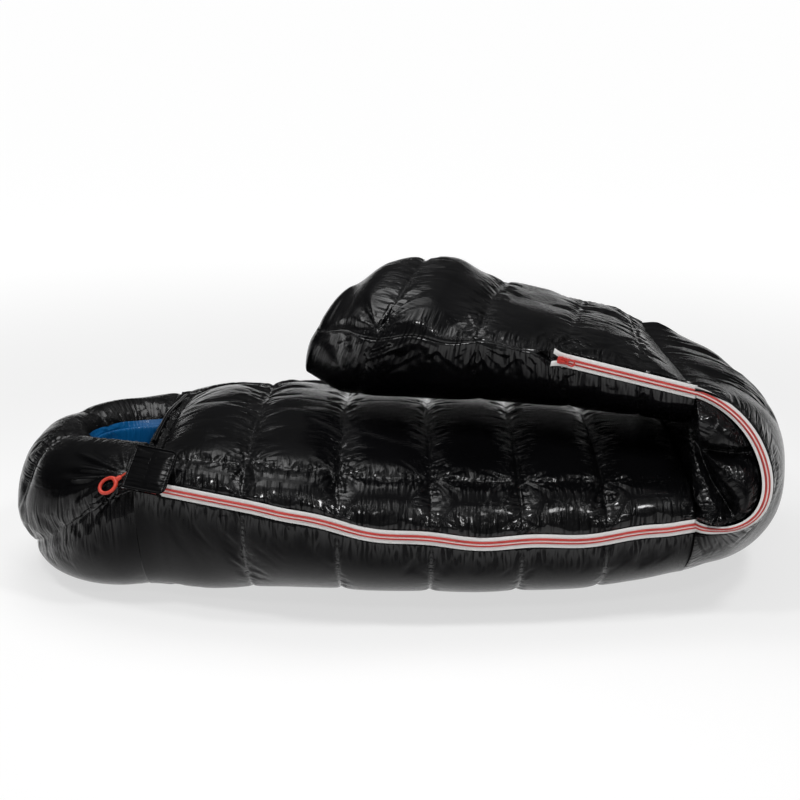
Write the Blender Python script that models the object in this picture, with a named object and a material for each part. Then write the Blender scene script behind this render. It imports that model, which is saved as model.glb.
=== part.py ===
"""Mummy sleeping bag with a face hood and a two-way side zip, folded once.

Units are metres and +Z is up. The head lies at -X, the fold at +X, and the
legs are laid back over the body. The zip runs along the -Y side. The shell is
built as sewn chambers round a real inner hollow.
"""

import math

import bmesh
import bpy
from mathutils import Matrix, Vector

for stale in list(bpy.data.objects):
    bpy.data.objects.remove(stale)

MM = 0.001

# The whole bag
NECK_X = -0.410
FOLD_X = 0.450
FOLD_AXIS_Z = 0.195
GAP = 0.0006
CENTRE_SHIFT_X = 0.00645

# Sewn chambers
SEAM_DEPTH = 0.017
ZIP_DEPTH = 0.009
FLOOR_SINK = 0.005
SIDE_SEAM_ANGLE = math.radians(38.0)
SEAM_ANGLE_GAP = 0.003
BACK_SEAM_GAP = 0.018
CHAMBER_STATIONS = (0.0, 0.05, 0.17, 0.35, 0.65, 0.83, 0.95, 1.0)
CHANNEL_POWER = 3.0
BORDER_POWER = 6.0
MOST_DRAWN_IN = 0.30
TORSO_BLUNT = 0.12
LEG_BLUNT = 0.10
HOLLOW_FLOOR_Z = 0.078
HOLLOW_WALL = 0.120
LIP_RUN = 0.035
LIP_STEP = 0.007
ROOF_REST = 0.012
TORSO_SEAMS = (-0.3850, -0.2375, -0.0940, 0.0470, 0.1840, 0.3140, FOLD_X)
LEG_SEAMS = (FOLD_X, 0.371, 0.252, 0.118, -0.035)

# Station tables, joined by smooth curves
# Torso: x, half width, zip height, crown height, roof of the hollow, underside
TORSO = (
    (-0.410, 0.2800, 0.2240, 0.252, 0.192, 0.000),
    (-0.330, 0.3104, 0.2184, 0.281, 0.205, 0.000),
    (-0.250, 0.3408, 0.2128, 0.291, 0.213, 0.000),
    (-0.200, 0.3598, 0.2093, 0.293, 0.215, 0.000),
    (-0.050, 0.3660, 0.1760, 0.293, 0.216, 0.000),
    (0.120, 0.3600, 0.1580, 0.289, 0.214, 0.000),
    (0.300, 0.3420, 0.1580, 0.281, 0.210, 0.004),
    (0.450, 0.3180, 0.1700, 0.272, 0.204, 0.024),
)
# Leg: x, front y, back y, underside, zip height, top
LEG = (
    (0.450, -0.2700, 0.280, 0.2765, 0.3678, 0.387),
    (0.380, -0.2587, 0.283, 0.2820, 0.3828, 0.409),
    (0.300, -0.2457, 0.284, 0.2865, 0.3999, 0.429),
    (0.230, -0.2343, 0.282, 0.2910, 0.4149, 0.448),
    (0.160, -0.2230, 0.278, 0.2940, 0.4299, 0.466),
    (0.030, -0.1900, 0.262, 0.2980, 0.4330, 0.499),
    (-0.060, -0.1350, 0.225, 0.3000, 0.4250, 0.513),
    (-0.128, -0.0300, 0.150, 0.3250, 0.4100, 0.487),
)
# Fold: angle in degrees, zip radius, outer radius, half width
FOLD = (
    (-90.0, 0.025, 0.171, 0.3180),
    (-45.0, 0.040, 0.182, 0.3160),
    (0.0, 0.098, 0.180, 0.3060),
    (45.0, 0.132, 0.180, 0.2880),
    (90.0, 0.1728, 0.192, 0.2700),
)
FOLD_EDGE_IN = 0.030
FOLD_LAYER = 0.004
FOLD_CREASE_RADIUS = 0.006
FOLD_CREASE_IN = 0.020
FOLD_BACK_IN = 0.006
FOLD_TUCK = 0.034
FOLD_BULGE = 0.002
FOLD_MIDDLE_SHARE = 0.55
LEG_YAW = 0.175
LEG_YAW_RUN = 0.14
LEG_LEAN = 0.45
LEG_LEAN_FROM_X = 0.16
LEG_LEAN_RUN = 0.20
LEG_SLIT_DEPTH = 0.030
LEG_SLOT_LEAD = 0.026
LEG_SLOT_RUN = 0.020
# Foot's last rings: share of the end ring, distance beyond it
FOOT_END = ((0.84, 0.010), (0.55, 0.016))

# Hood
HOOD_LENGTH = 0.236
HOOD_HALF_WIDTH = 0.278
HOOD_TOP_Z = 0.252
HOOD_BACK_DROP = 0.017
HOOD_BASE_Z = 0.060
FACE_RADIUS_X = 0.118
FACE_RADIUS_Y = 0.116
FACE_CENTRE_Y = 0.020
HOOD_WALL = 0.16
# Height of the widest line and how far the skin runs in below it, at neck and tip
HOOD_MIDDLE_Z = (0.216, 0.130)
HOOD_REACH = (1.50, 0.60)
HOOD_TOP_REACH = 0.60
HOOD_TOP_REST = 0.012
HOOD_TOP_SHARE = 0.4
HOOD_INNER_W = 0.985
# Rim points: share of the way in, depth below the crest, share of the seam's depth
HOOD_RIM = ((0.64, 0.0, 1.0), (0.86, 0.008, 0.6), (HOOD_INNER_W, 0.030, 0.0))
HOOD_LINING_DROP = 0.032
HOOD_LINING_W = 1.03
HOOD_LINING_TURN = 0.02
HOOD_TURN_GAP = 0.003
SHOULDER_ANGLE = math.radians(72.0)
SHOULDER_TRIM = math.radians(6.0)
SHOULDER_DROP = 0.152
SHOULDER_POWER = 1.15
SHOULDER_SEAM = 0.0022
SHOULDER_SHARE = 0.7
INNER_STEP = 0.020
SHOULDER_INNER = 0.0165
BASE_LENGTH = 0.185
BASE_OVAL = (0.20, 0.205)
BASE_FOOT_SHARE = 0.50
BASE_SIDE_SHARE = 0.82
BASE_SIDE_Z = 0.022

# Linings and draft tube
LINING_THICK = 0.0018
LINING_MARGIN = 0.040
LINING_END = 0.003
DRAFT_RADII = (0.013, 0.016)
DRAFT_OFFSET = (0.018, 0.010)
DRAFT_ENDS = (0.030, 0.004)

# Zip
TAPE_EDGE = 0.0104
TAPE_SLIT = 0.0020
TAPE_THICK = 0.0012
TAPE_SEAT = 0.0016
FOLD_TAPE_EDGE = 0.0088
COIL_LIFT = 0.0004
COIL_HALF = 0.0026
COIL_HIGH = 0.0024
ZIP_SLOT = 0.010
ZIP_FOOT_X = 0.234
ZIP_HEAD_X = -0.398
TORSO_TAPE_END = 0.0015
LEG_TAPE_END = 0.0030
LEG_COIL_END = 0.0012
COIL_START = 0.001

# Slider, in its own frame: travel along x, across the tape y, outward z
# Outlines are half outlines in millimetres
SLIDER_PLATE = 0.0015
SLIDER_LOW_Z = -0.0022
SLIDER_TOP_Z = 0.0054
SLIDER_OVERLAP = 0.0008
SLIDER_OUTLINE = ((-8.5, 2.6), (-7.4, 5.4), (-3.0, 6.0), (3.0, 4.8), (8.5, 4.6))
SLIDER_POST = ((-7.6, 0.4), (-5.4, 1.4), (-2.6, 0.4))
SLIDER_RAIL = ((-3.0, 3.4), (8.2, 3.4), (8.2, 4.5), (2.8, 4.7), (-3.0, 5.8))
SLIDER_RAIL_LIFT = 0.0010
ARCH_OUTLINE = ((3.8, 4.4), (5.2, 3.0), (5.2, -0.6), (3.4, -0.6), (3.4, 2.6))
ARCH_HALF_WIDTH = 0.0009
PULL_TAB = ((-0.8, 2.9), (6.6, 2.9), (9.0, 5.2), (15.5, 5.6), (18.2, 4.2), (19.2, 1.8))
PULL_SLOT = ((0.8, 1.5), (6.2, 1.5))
PULL_EYE = ((9.2, 1.6), (10.4, 3.5), (15.2, 3.8), (17.0, 1.8))
PULL_HEIGHTS = (0.0005, 0.0019)
FOOT_SLIDER_AT = 0.016
HEAD_SLIDER_AT = 0.014

# Chin flap and drawcord
FLAP_AT = 0.030
FLAP_LEAN = math.radians(40.0)
FLAP_HINGE_BACK = 0.056
FLAP_EDGE = 0.002
FLAP_TRIM_SHARE = 0.16
FLAP_WIDTH = 0.076
FLAP_HEIGHT = 0.073
FLAP_THICK = 0.003
FLAP_LIFT = 0.0165
FLAP_DROP = 0.014
# Hook patch: distance of its low and high corners from the flap's far corner
HOOK_LOW = (0.024, 0.026)
HOOK_HIGH = (0.006, 0.008)
HOOK_THICK = 0.0016
HOOK_UNDER = 0.0020
# Mouth of the drawcord's sleeve and its direction, in the flap's frame
CORD_MOUTH = (-0.058, 0.014, 0.0085)
CORD_OUT = (-0.68, -0.73, -0.05)
CORD_RADIUS = 0.0016
CORD_TAIL = 0.047
CORD_LEAD = 0.0172
SLEEVE_LENGTH = 0.050
SLEEVE_RADIUS = 0.0046
SLEEVE_CLEARANCE = 0.0006
RING_LEAD = 0.022
RING_RADIUS = 0.0140
RING_WIRE = 0.0032
RING_FLATNESS = 0.82
RING_GRIP = 0.35
RING_STEPS = 20
RING_SIDES = 8
BINDING_AT = 0.012
BINDING_RADIUS = 0.0042
BINDING_LIFT = 0.0052
BINDING_ANGLES = (math.radians(62.0), math.radians(150.0))

NYLON = ("shell_nylon", (0.010, 0.010, 0.012), 0.30, 0.0)
LINING = ("lining_nylon", (0.02, 0.10, 0.42), 0.55, 0.0)
TAPE = ("zip_tape", (0.78, 0.77, 0.75), 0.85, 0.0)
COIL = ("zip_coil", (0.62, 0.05, 0.03), 0.45, 0.0)
METAL = ("slider_metal", (0.60, 0.06, 0.04), 0.35, 0.8)
CORD = ("drawcord", (0.80, 0.16, 0.03), 0.70, 0.0)
MOULDED = ("pull_moulding", (0.85, 0.18, 0.03), 0.50, 0.0)
HOOK = ("hook_tape", (0.02, 0.02, 0.02), 0.95, 0.0)


def eased(rows, x, column):
    """Return one column of a station table at x, along a smooth curve."""
    rows = sorted(rows)
    last = len(rows) - 1
    at = next((i for i in range(last) if x <= rows[i + 1][0]), last - 1)
    slopes = []
    for i in (at, at + 1):
        low, high = rows[max(i - 1, 0)], rows[min(i + 1, last)]
        slopes.append((high[column] - low[column]) / (high[0] - low[0]))
    low, high = rows[at], rows[at + 1]
    span = high[0] - low[0]
    t = min(max((x - low[0]) / span, 0.0), 1.0)
    rest = 1.0 - t
    ends = low[column] * (1 + 2 * t) * rest * rest + high[column] * t * t * (3 - 2 * t)
    return ends + span * t * rest * (slopes[0] * rest - slopes[1] * t)


def pillow(t, power=CHANNEL_POWER):
    """Return the height of a stuffed channel at t across it, 0 to 1."""
    return math.sqrt(max(0.0, 1.0 - abs(2.0 * t - 1.0) ** power))


def spread(low, high, count):
    """Return evenly spaced values from low to high."""
    return [low + (high - low) * i / (count - 1) for i in range(count)]


def stations(low, high):
    """Return places along one chamber, closer together at its seams."""
    return [(low + (high - low) * t, t) for t in CHAMBER_STATIONS]


def finish(obj, look):
    """Give an object its one material."""
    title, colour, roughness, metallic = look
    material = bpy.data.materials.get(title) or bpy.data.materials.new(title)
    material.use_nodes = True
    shader = material.node_tree.nodes["Principled BSDF"]
    shader.inputs["Base Color"].default_value = (*colour, 1.0)
    shader.inputs["Roughness"].default_value = roughness
    shader.inputs["Metallic"].default_value = metallic
    obj.data.materials.clear()
    obj.data.materials.append(material)


def solid_from(name, mesh, look):
    """Turn a bmesh into a named closed object."""
    bmesh.ops.recalc_face_normals(mesh, faces=mesh.faces)
    data = bpy.data.meshes.new(name)
    mesh.to_mesh(data)
    mesh.free()
    obj = bpy.data.objects.new(name, data)
    bpy.context.scene.collection.objects.link(obj)
    finish(obj, look)
    return obj


def loft(name, rings, look):
    """Make a closed solid through rings of equally many points."""
    mesh = bmesh.new()
    loops = [[mesh.verts.new(point) for point in ring] for ring in rings]
    for near, far in zip(loops, loops[1:]):
        for i in range(len(near)):
            j = (i + 1) % len(near)
            mesh.faces.new((near[i], near[j], far[j], far[i]))
    mesh.faces.new(loops[0][::-1])
    mesh.faces.new(loops[-1])
    return solid_from(name, mesh, look)


def prism(name, outline, low, high, look, holes=()):
    """Extrude a flat outline between two heights, with holes through it."""
    rings = [[Vector((x, y, z)) for x, y in outline] for z in (low, high)]
    obj = loft(name, rings, look)
    for i, hole in enumerate(holes):
        rings = [[Vector((x, y, z)) for x, y in hole] for z in (low - MM, high + MM)]
        combine(obj, loft(f"{name}_hole_{i}", rings, look), "DIFFERENCE")
    return obj


def combine(obj, other, operation):
    """Join or cut one object with another, and drop the other."""
    step = obj.modifiers.new(operation, "BOOLEAN")
    step.operation = operation
    step.solver = "EXACT"
    step.object = other
    bpy.context.view_layer.update()
    shaped = obj.evaluated_get(bpy.context.evaluated_depsgraph_get())
    data = bpy.data.meshes.new_from_object(shaped)
    obj.modifiers.clear()
    obj.data = data
    bpy.data.objects.remove(other)


def torso_point(x, angle, inset):
    """Return a point of the torso skin, drawn in by inset.

    Angle 0 is the zip line, 90 degrees the crown and 180 the back edge.
    """
    half, edge, crown, under = (eased(TORSO, x, column) for column in (1, 2, 3, 5))
    under = max(under, 0.0)
    rise = crown - edge if math.sin(angle) > 0 else edge - under + FLOOR_SINK
    across, up = -half * math.cos(angle), rise * math.sin(angle)
    outward = Vector((0, across / half**2, up / max(rise, TORSO_BLUNT) ** 2)).normalized()
    point = Vector((x, across, edge + up)) - outward * min(inset, MOST_DRAWN_IN * rise)
    point.z = max(point.z, under)
    return point


def torso_skin(x, t, angles, draw_in):
    """Return the outer points of one torso ring, with its sewn hollows."""
    points = []
    for i, angle in enumerate(angles):
        v = i / (len(angles) - 1)
        ends = draw_in[0] if v < 0.5 else draw_in[1]
        channel = SEAM_DEPTH * (1.0 - pillow(t))
        border = ends * (1.0 - pillow(v, BORDER_POWER))
        points.append(torso_point(x, angle, max(channel, border)))
    return points


def hollow_half(x):
    """Return the half width of the inner hollow."""
    return eased(TORSO, x, 1) - HOLLOW_WALL


def split_z(x, slot):
    """Return the height where side and bottom panels part, at the hollow."""
    drop = LIP_STEP - 2.0 * slot if slot < 0 else 0.0
    return min(eased(TORSO, x, 2) + slot, eased(TORSO, x, 4) - ROOF_REST - drop)


def torso_top(name, low, high):
    """Make one chamber of the top panel, with a flat underside."""
    rings = []
    edge = SIDE_SEAM_ANGLE + SEAM_ANGLE_GAP
    angles = spread(edge, math.pi - edge, 11)
    for x, t in stations(low + GAP, high - GAP):
        ring = torso_skin(x, t, angles, (SEAM_DEPTH, SEAM_DEPTH))
        inner = hollow_half(x)
        ring += [Vector((x, y, eased(TORSO, x, 4))) for y in (inner, 0.0, -inner)]
        rings.append(ring)
    return loft(name, rings, NYLON)


def torso_side(name, seams, front):
    """Make side chambers between the longitudinal seam and the zip line."""
    places = []
    for low, high in zip(seams, seams[1:]):
        places += stations(low, high)[1 if places else 0:]
    slot = ZIP_SLOT if front else GAP
    rings = []
    for x, t in places:
        x = min(max(x, seams[0] + GAP), seams[-1] - GAP)
        start = math.asin(slot / (eased(TORSO, x, 3) - eased(TORSO, x, 2)))
        angles = spread(start, SIDE_SEAM_ANGLE - 2 * SEAM_ANGLE_GAP, 6)
        ring = torso_skin(x, t, angles, (ZIP_DEPTH, SEAM_DEPTH))
        inner = hollow_half(x) + 2 * GAP
        ring.append(Vector((x, -inner, eased(TORSO, x, 4) - 4 * GAP)))
        ring.append(Vector((x, -inner, split_z(x, slot))))
        side = 1.0 if front else -1.0
        rings.append([Vector((p.x, side * p.y, p.z)) for p in ring])
    return loft(name, rings, NYLON)


def torso_bottom(name, low, high):
    """Make one chamber of the bottom panel, with raised side lips."""
    rings = []
    for x, t in stations(low + GAP, high - GAP):
        start = math.asin(ZIP_SLOT / (eased(TORSO, x, 2) + FLOOR_SINK))
        angles = spread(2 * math.pi - start, math.pi + BACK_SEAM_GAP, 15)
        ring = torso_skin(x, t, angles, (ZIP_DEPTH, ZIP_DEPTH))
        lip = hollow_half(x) + 2 * GAP
        floor = lip - LIP_RUN
        ring.append(Vector((x, lip, split_z(x, -GAP))))
        ring += [Vector((x, y, HOLLOW_FLOOR_Z)) for y in (floor, 0.0, -floor)]
        ring.append(Vector((x, -lip, split_z(x, -ZIP_SLOT))))
        rings.append(ring)
    return loft(name, rings, NYLON)


def leg_point(x, angle, inset):
    """Return a point of the leg skin; angles are as on the torso."""
    front, back, under, edge, top = (eased(LEG, x, column) for column in range(1, 6))
    half, middle = (back - front) / 2, (back + front) / 2
    rise = top - edge if math.sin(angle) > 0 else edge - under + FLOOR_SINK
    across, up = -half * math.cos(angle), rise * math.sin(angle)
    outward = Vector((0, across / half**2, up / max(rise, LEG_BLUNT) ** 2)).normalized()
    point = Vector((x, middle + across, edge + up)) - outward * min(inset, MOST_DRAWN_IN * rise)
    point.z = max(point.z, under)
    return slant(point)


def slant(point):
    """Turn the leg's cross planes with its yaw and the foot's lean."""
    x = point.x
    front, edge = eased(LEG, x, 1), eased(LEG, x, 4)
    yaw = LEG_YAW * min((FOLD_X - x) / LEG_YAW_RUN, 1.0)
    lean = LEG_LEAN * min(max((LEG_LEAN_FROM_X - x) / LEG_LEAN_RUN, 0.0), 1.0)
    shift = yaw * (point.y - front) + lean * (point.z - edge)
    return Vector((x + shift, point.y, point.z))


def leg_slot(x):
    """Return half the opening between the leg's two layers at the front."""
    t = min(max((x - ZIP_FOOT_X + LEG_SLOT_LEAD) / LEG_SLOT_RUN, 0.0), 1.0)
    return GAP + (ZIP_SLOT - GAP) * t


def leg_ring(x, t, over, depth=SEAM_DEPTH):
    """Return one ring of a leg chamber, over or under the zip line."""
    front, back, under, edge, top = (eased(LEG, x, column) for column in range(1, 6))
    slot = leg_slot(x)
    if over:
        start, end = math.asin(slot / (top - edge)), math.pi - 2 * SEAM_ANGLE_GAP
    else:
        start, end = -math.asin(slot / (edge - under + FLOOR_SINK)), -math.pi + SEAM_ANGLE_GAP
    ring = []
    for i, angle in enumerate(spread(start, end, 12)):
        border = ZIP_DEPTH * (1.0 - pillow(i / 11, BORDER_POWER))
        ring.append(leg_point(x, angle, max(depth * (1.0 - pillow(t)), border)))
    sign = 1.0 if over else -1.0
    ring.append(slant(Vector((x, back - LEG_SLIT_DEPTH, edge + sign * GAP))))
    ring.append(slant(Vector((x, front + LEG_SLIT_DEPTH, edge + sign * slot))))
    return ring


def leg_chamber(name, low, high, over):
    """Make one chamber of the leg's upper or lower layer."""
    rings = [leg_ring(x, t, over) for x, t in stations(low + GAP, high - GAP)]
    return loft(name, rings, NYLON)


def foot_cap():
    """Make the closed foot end, one chamber round both layers."""
    rings = []
    low, high = LEG[-1][0], LEG_SEAMS[-1] - GAP
    for x, t in stations(low, high):
        drawn = SEAM_DEPTH * (1.0 - pillow(min(t, 1.0) / 2 + 0.5))
        angles = [2 * math.pi * i / 22 for i in range(22)]
        rings.append([leg_point(x, angle, drawn) for angle in angles])
    first = rings[0]
    centre = sum(first, Vector()) / len(first)
    for scale, out in FOOT_END:
        rings.insert(0, [centre + (p - centre) * scale - Vector((out, 0, 0)) for p in first])
    return loft("foot_box", rings, NYLON)


def fold_point(degrees, radius, y):
    """Return a point of the fold from its angle and radius round the axis."""
    angle = math.radians(degrees)
    x = FOLD_X + GAP + radius * math.cos(angle)
    return Vector((x, y, FOLD_AXIS_Z + radius * math.sin(angle)))


def fold_outer():
    """Make the outer layer of the fold, outside the zip line."""
    rings = []
    for degrees in spread(-90.0, 90.0, 13):
        zip_radius, outer, half = (eased(FOLD, degrees, column) for column in (1, 2, 3))
        inner = zip_radius + ZIP_SLOT
        ring = []
        for angle in spread(0.0, math.pi, 13):
            power = 1.0 + math.cos(math.radians(degrees))
            radius = inner + (outer - inner) * math.sin(angle) ** power
            ring.append(fold_point(degrees, radius, -half * math.cos(angle)))
        ring.append(fold_point(degrees, inner - FOLD_LAYER, half - FOLD_EDGE_IN))
        ring.append(fold_point(degrees, inner - FOLD_LAYER, -half + FOLD_EDGE_IN))
        rings.append(ring)
    return loft("fold_outer_panel", rings, NYLON)


def fold_inner():
    """Make the inner layer of the fold, from the crease to the zip line."""
    rings = []
    for degrees in spread(-90.0, 90.0, 13):
        zip_radius, outer, half = (eased(FOLD, degrees, column) for column in (1, 2, 3))
        high = zip_radius - ZIP_SLOT
        mid = zip_radius * FOLD_MIDDLE_SHARE + FOLD_LAYER
        tuck = zip_radius + ZIP_SLOT - FOLD_LAYER - GAP
        ring = [
            fold_point(degrees, high, -half + FOLD_LAYER),
            fold_point(degrees, mid, -half - FOLD_BULGE),
            fold_point(degrees, FOLD_CREASE_RADIUS, -half + FOLD_CREASE_IN),
            fold_point(degrees, FOLD_LAYER, 0.0),
            fold_point(degrees, FOLD_CREASE_RADIUS, half - FOLD_CREASE_IN),
            fold_point(degrees, mid, half - FOLD_BULGE),
            fold_point(degrees, high, half - FOLD_BACK_IN),
            fold_point(degrees, tuck, half - FOLD_TUCK),
            fold_point(degrees, tuck, -half + FOLD_TUCK),
            fold_point(degrees, high, -half + FOLD_CREASE_IN + FOLD_LAYER),
        ]
        rings.append(ring)
    return loft("fold_inner_panel", rings, NYLON)


def hood_point(turn, w, z):
    """Return a hood point at a turn round the face opening.

    Turn 0 is the front neck edge, 90 degrees the tip and 180 the back neck
    edge. w is 0 on the outline and 1 on the rim of the face opening.
    """
    outer_x, outer_y = HOOD_LENGTH * math.sin(turn), -HOOD_HALF_WIDTH * math.cos(turn)
    rim_x = FACE_RADIUS_X * math.sin(turn)
    rim_y = FACE_CENTRE_Y - FACE_RADIUS_Y * math.cos(turn)
    x = NECK_X - GAP - (outer_x * (1 - w) + rim_x * w)
    return Vector((x, outer_y * (1 - w) + rim_y * w, z))


def hood_top(turn):
    """Return the height of the hood's crest, lower along its back side."""
    return HOOD_TOP_Z - HOOD_BACK_DROP * (1.0 - math.cos(turn)) / 2


def hood_skin(turn, low_z, high_z, count, inset):
    """Return outer hood points between two heights, from low to high."""
    tip = math.sin(turn)
    middle, reach = (neck + (end - neck) * tip for neck, end in (HOOD_MIDDLE_Z, HOOD_REACH))
    points = []
    for z in spread(low_z, high_z, count):
        if z < middle:
            sine = (middle - z) / (middle + FLOOR_SINK)
            w = reach * (1.0 - math.sqrt(1.0 - sine * sine))
        else:
            sine = min((z - middle) / (hood_top(turn) - middle + MM), 1.0)
            w = HOOD_TOP_REACH * (1.0 - math.sqrt(1.0 - sine * sine))
        points.append(hood_point(turn, w + inset / HOOD_WALL, z))
    return points


def shoulder_z(turn):
    """Return the height of the slanting seam below the hood's cheeks."""
    tip = math.sin(min(turn, math.pi - turn)) / math.sin(SHOULDER_ANGLE)
    return HOOD_MIDDLE_Z[0] - SHOULDER_DROP * min(tip, 1.0) ** SHOULDER_POWER


def hood_ring(turn, t, low_z):
    """Return one ring of a hood chamber above low_z."""
    inset = SEAM_DEPTH * (1.0 - pillow(t))
    top = hood_top(turn)
    ring = hood_skin(turn, low_z, top - HOOD_TOP_REST - inset * HOOD_TOP_SHARE, 8, inset)
    for w, drop, share in HOOD_RIM:
        ring.append(hood_point(turn, w, top - drop - inset * share))
    ring.append(hood_point(turn, HOOD_INNER_W, max(low_z, HOOD_BASE_Z + INNER_STEP)))
    return ring


def hood_chamber(name, low, high):
    """Make one stuffed chamber of the hood between two turns."""
    rings = []
    for turn, t in stations(low + HOOD_TURN_GAP, high - HOOD_TURN_GAP):
        rings.append(hood_ring(turn, t, shoulder_z(turn) + GAP))
    return loft(name, rings, NYLON)


def shoulder_chamber(name, low, high):
    """Make the wedge below one cheek, down to the hood's base."""
    rings = []
    for turn, t in stations(low, high):
        top = shoulder_z(turn) - SHOULDER_SEAM
        inset = SEAM_DEPTH * SHOULDER_SHARE * (1.0 - pillow(t))
        ring = hood_skin(turn, HOOD_BASE_Z + 2 * GAP, top, 6, inset)
        ring.append(hood_point(turn, HOOD_INNER_W, min(top, HOOD_BASE_Z + SHOULDER_INNER)))
        ring.append(hood_point(turn, HOOD_INNER_W, HOOD_BASE_Z + 2 * GAP))
        rings.append(ring)
    return loft(name, rings, NYLON)


def hood_base():
    """Make the pad that the hood lies on."""
    rings = []
    for x in spread(NECK_X - GAP, NECK_X - BASE_LENGTH, 8):
        reach = (NECK_X - x) / BASE_OVAL[0]
        top = BASE_OVAL[1] * math.sqrt(1.0 - reach * reach)
        foot, side = top * BASE_FOOT_SHARE, top * BASE_SIDE_SHARE
        ring = [Vector((x, y, 0.0)) for y in (-foot, 0.0, foot)]
        ring += [Vector((x, side, BASE_SIDE_Z)), Vector((x, top, HOOD_BASE_Z))]
        ring += [Vector((x, -top, HOOD_BASE_Z)), Vector((x, -side, BASE_SIDE_Z))]
        rings.append(ring)
    return loft("hood_base", rings, NYLON)


def hood_lining():
    """Make the lining wall inside the face opening."""
    rings = []
    low = HOOD_BASE_Z + 3 * GAP
    for turn in spread(HOOD_LINING_TURN, math.pi - HOOD_LINING_TURN, 17):
        high = hood_top(turn) - HOOD_LINING_DROP
        corners = ((1.0, low), (1.0, high), (HOOD_LINING_W, high), (HOOD_LINING_W, low))
        rings.append([hood_point(turn, w, z) for w, z in corners])
    return loft("hood_lining", rings, LINING)


def lining_sheet(name, low_x, high_x, face_z):
    """Make a thin lining sheet across the hollow, on the panel at face_z."""
    rings = []
    for x in spread(low_x, high_x, 12):
        half = hollow_half(x) - LINING_MARGIN
        thick = LINING_THICK if face_z(x) < HOLLOW_FLOOR_Z + LINING_THICK else -LINING_THICK
        low, high = sorted((face_z(x), face_z(x) + thick))
        corners = ((-half, low), (half, low), (half, high), (-half, high))
        rings.append([Vector((x, y, z)) for y, z in corners])
    return loft(name, rings, LINING)


def draft_tube():
    """Make the stuffed tube that lies behind the torso zip."""
    rings = []
    across, up = DRAFT_RADII
    for x in spread(NECK_X + DRAFT_ENDS[0], FOLD_X - DRAFT_ENDS[1], 16):
        centre = Vector((x, DRAFT_OFFSET[0] - hollow_half(x), split_z(x, 0.0) - DRAFT_OFFSET[1]))
        turns = [2 * math.pi * i / 10 for i in range(10)]
        rings.append([centre + Vector((0, across * math.cos(a), up * math.sin(a))) for a in turns])
    return loft("draft_tube", rings, LINING)


def torso_zip_frame(x):
    """Return the point, width direction and outward direction of the zip."""

    def at(place):
        half, edge = eased(TORSO, place, 1), eased(TORSO, place, 2)
        return Vector((place, -half + ZIP_DEPTH - TAPE_SEAT, edge))

    return path_frame(at, x)


def leg_zip_frame(x):
    """Return the leg zip's frame, as on the torso."""

    def at(place):
        return Vector((place, eased(LEG, place, 1) + ZIP_DEPTH - TAPE_SEAT, eased(LEG, place, 4)))

    return path_frame(at, x)


def path_frame(at, x):
    """Return the frame of a path that runs along x on the front side."""
    along = (at(x + MM) - at(x - MM)).normalized()
    width = (Vector((0, 0, 1)) - along * along.z).normalized()
    return at(x), width, along.cross(width)


def fold_zip_frame(degrees):
    """Return the zip's frame on the fold, with its width along the radius."""
    zip_radius, half = eased(FOLD, degrees, 1), eased(FOLD, degrees, 3)
    point = fold_point(degrees, zip_radius, -half - FOLD_LAYER)
    angle = math.radians(degrees)
    return point, Vector((math.cos(angle), 0, math.sin(angle))), Vector((0, -1, 0))


def strip(name, frames, section, look):
    """Make a strip with one cross-section along a list of frames."""
    rings = []
    for point, width, outward in frames:
        rings.append([point + width * u + outward * n for u, n in section])
    return loft(name, rings, look)


def band(low, high):
    """Return the section of a tape between two edges."""
    return ((low, 0.0), (high, 0.0), (high, TAPE_THICK), (low, TAPE_THICK))


def coil_section():
    """Return the half-round section of the closed coil, on the tapes."""
    base = TAPE_THICK + COIL_LIFT
    turns = spread(0.0, math.pi, 7)
    return [(COIL_HALF * math.cos(a), base + COIL_HIGH * math.sin(a)) for a in turns]


def zips():
    """Make the tapes and coils of the zip's three stretches."""
    torso_x = spread(ZIP_HEAD_X, FOLD_X - TORSO_TAPE_END, 30)
    torso = [torso_zip_frame(x) for x in torso_x]
    leg = [leg_zip_frame(x) for x in spread(ZIP_FOOT_X, FOLD_X - LEG_TAPE_END, 7)]
    fold = [fold_zip_frame(degrees) for degrees in spread(-89.9, 89.9, 21)]
    for name, frames in (("torso", torso), ("leg", leg)):
        strip(f"zip_tape_upper_{name}", frames, band(TAPE_SLIT, TAPE_EDGE), TAPE)
        strip(f"zip_tape_lower_{name}", frames, band(-TAPE_EDGE, -TAPE_SLIT), TAPE)
    strip("zip_tape_fold", fold, band(-FOLD_TAPE_EDGE, FOLD_TAPE_EDGE), TAPE)
    closed_x = ZIP_HEAD_X + HEAD_SLIDER_AT + COIL_START
    coil_x = [closed_x] + [x for x in torso_x if x > closed_x + 2 * COIL_START]
    strip("zip_coil_torso", [torso_zip_frame(x) for x in coil_x], coil_section(), COIL)
    coil_x = spread(ZIP_FOOT_X + FOOT_SLIDER_AT + COIL_START, FOLD_X - LEG_COIL_END, 7)
    strip("zip_coil_leg", [leg_zip_frame(x) for x in coil_x], coil_section(), COIL)
    strip("zip_coil_fold", fold, coil_section(), COIL)


def mirrored(points):
    """Close a half outline, in millimetres, by its mirror image."""
    right = [(x * MM, y * MM) for x, y in points]
    return right + [(x, -y) for x, y in reversed(right)]


def placed(obj, frame, along_sign):
    """Move an object from the slider's frame onto a zip path."""
    point, width, outward = frame
    along = width.cross(outward) * along_sign
    side = width * along_sign
    turn = Matrix((along, side, outward)).transposed().to_4x4()
    turn.translation = point
    obj.data.transform(Matrix.Translation(-point) @ turn)
    obj.matrix_world = Matrix.Translation(point)
    return obj


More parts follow.
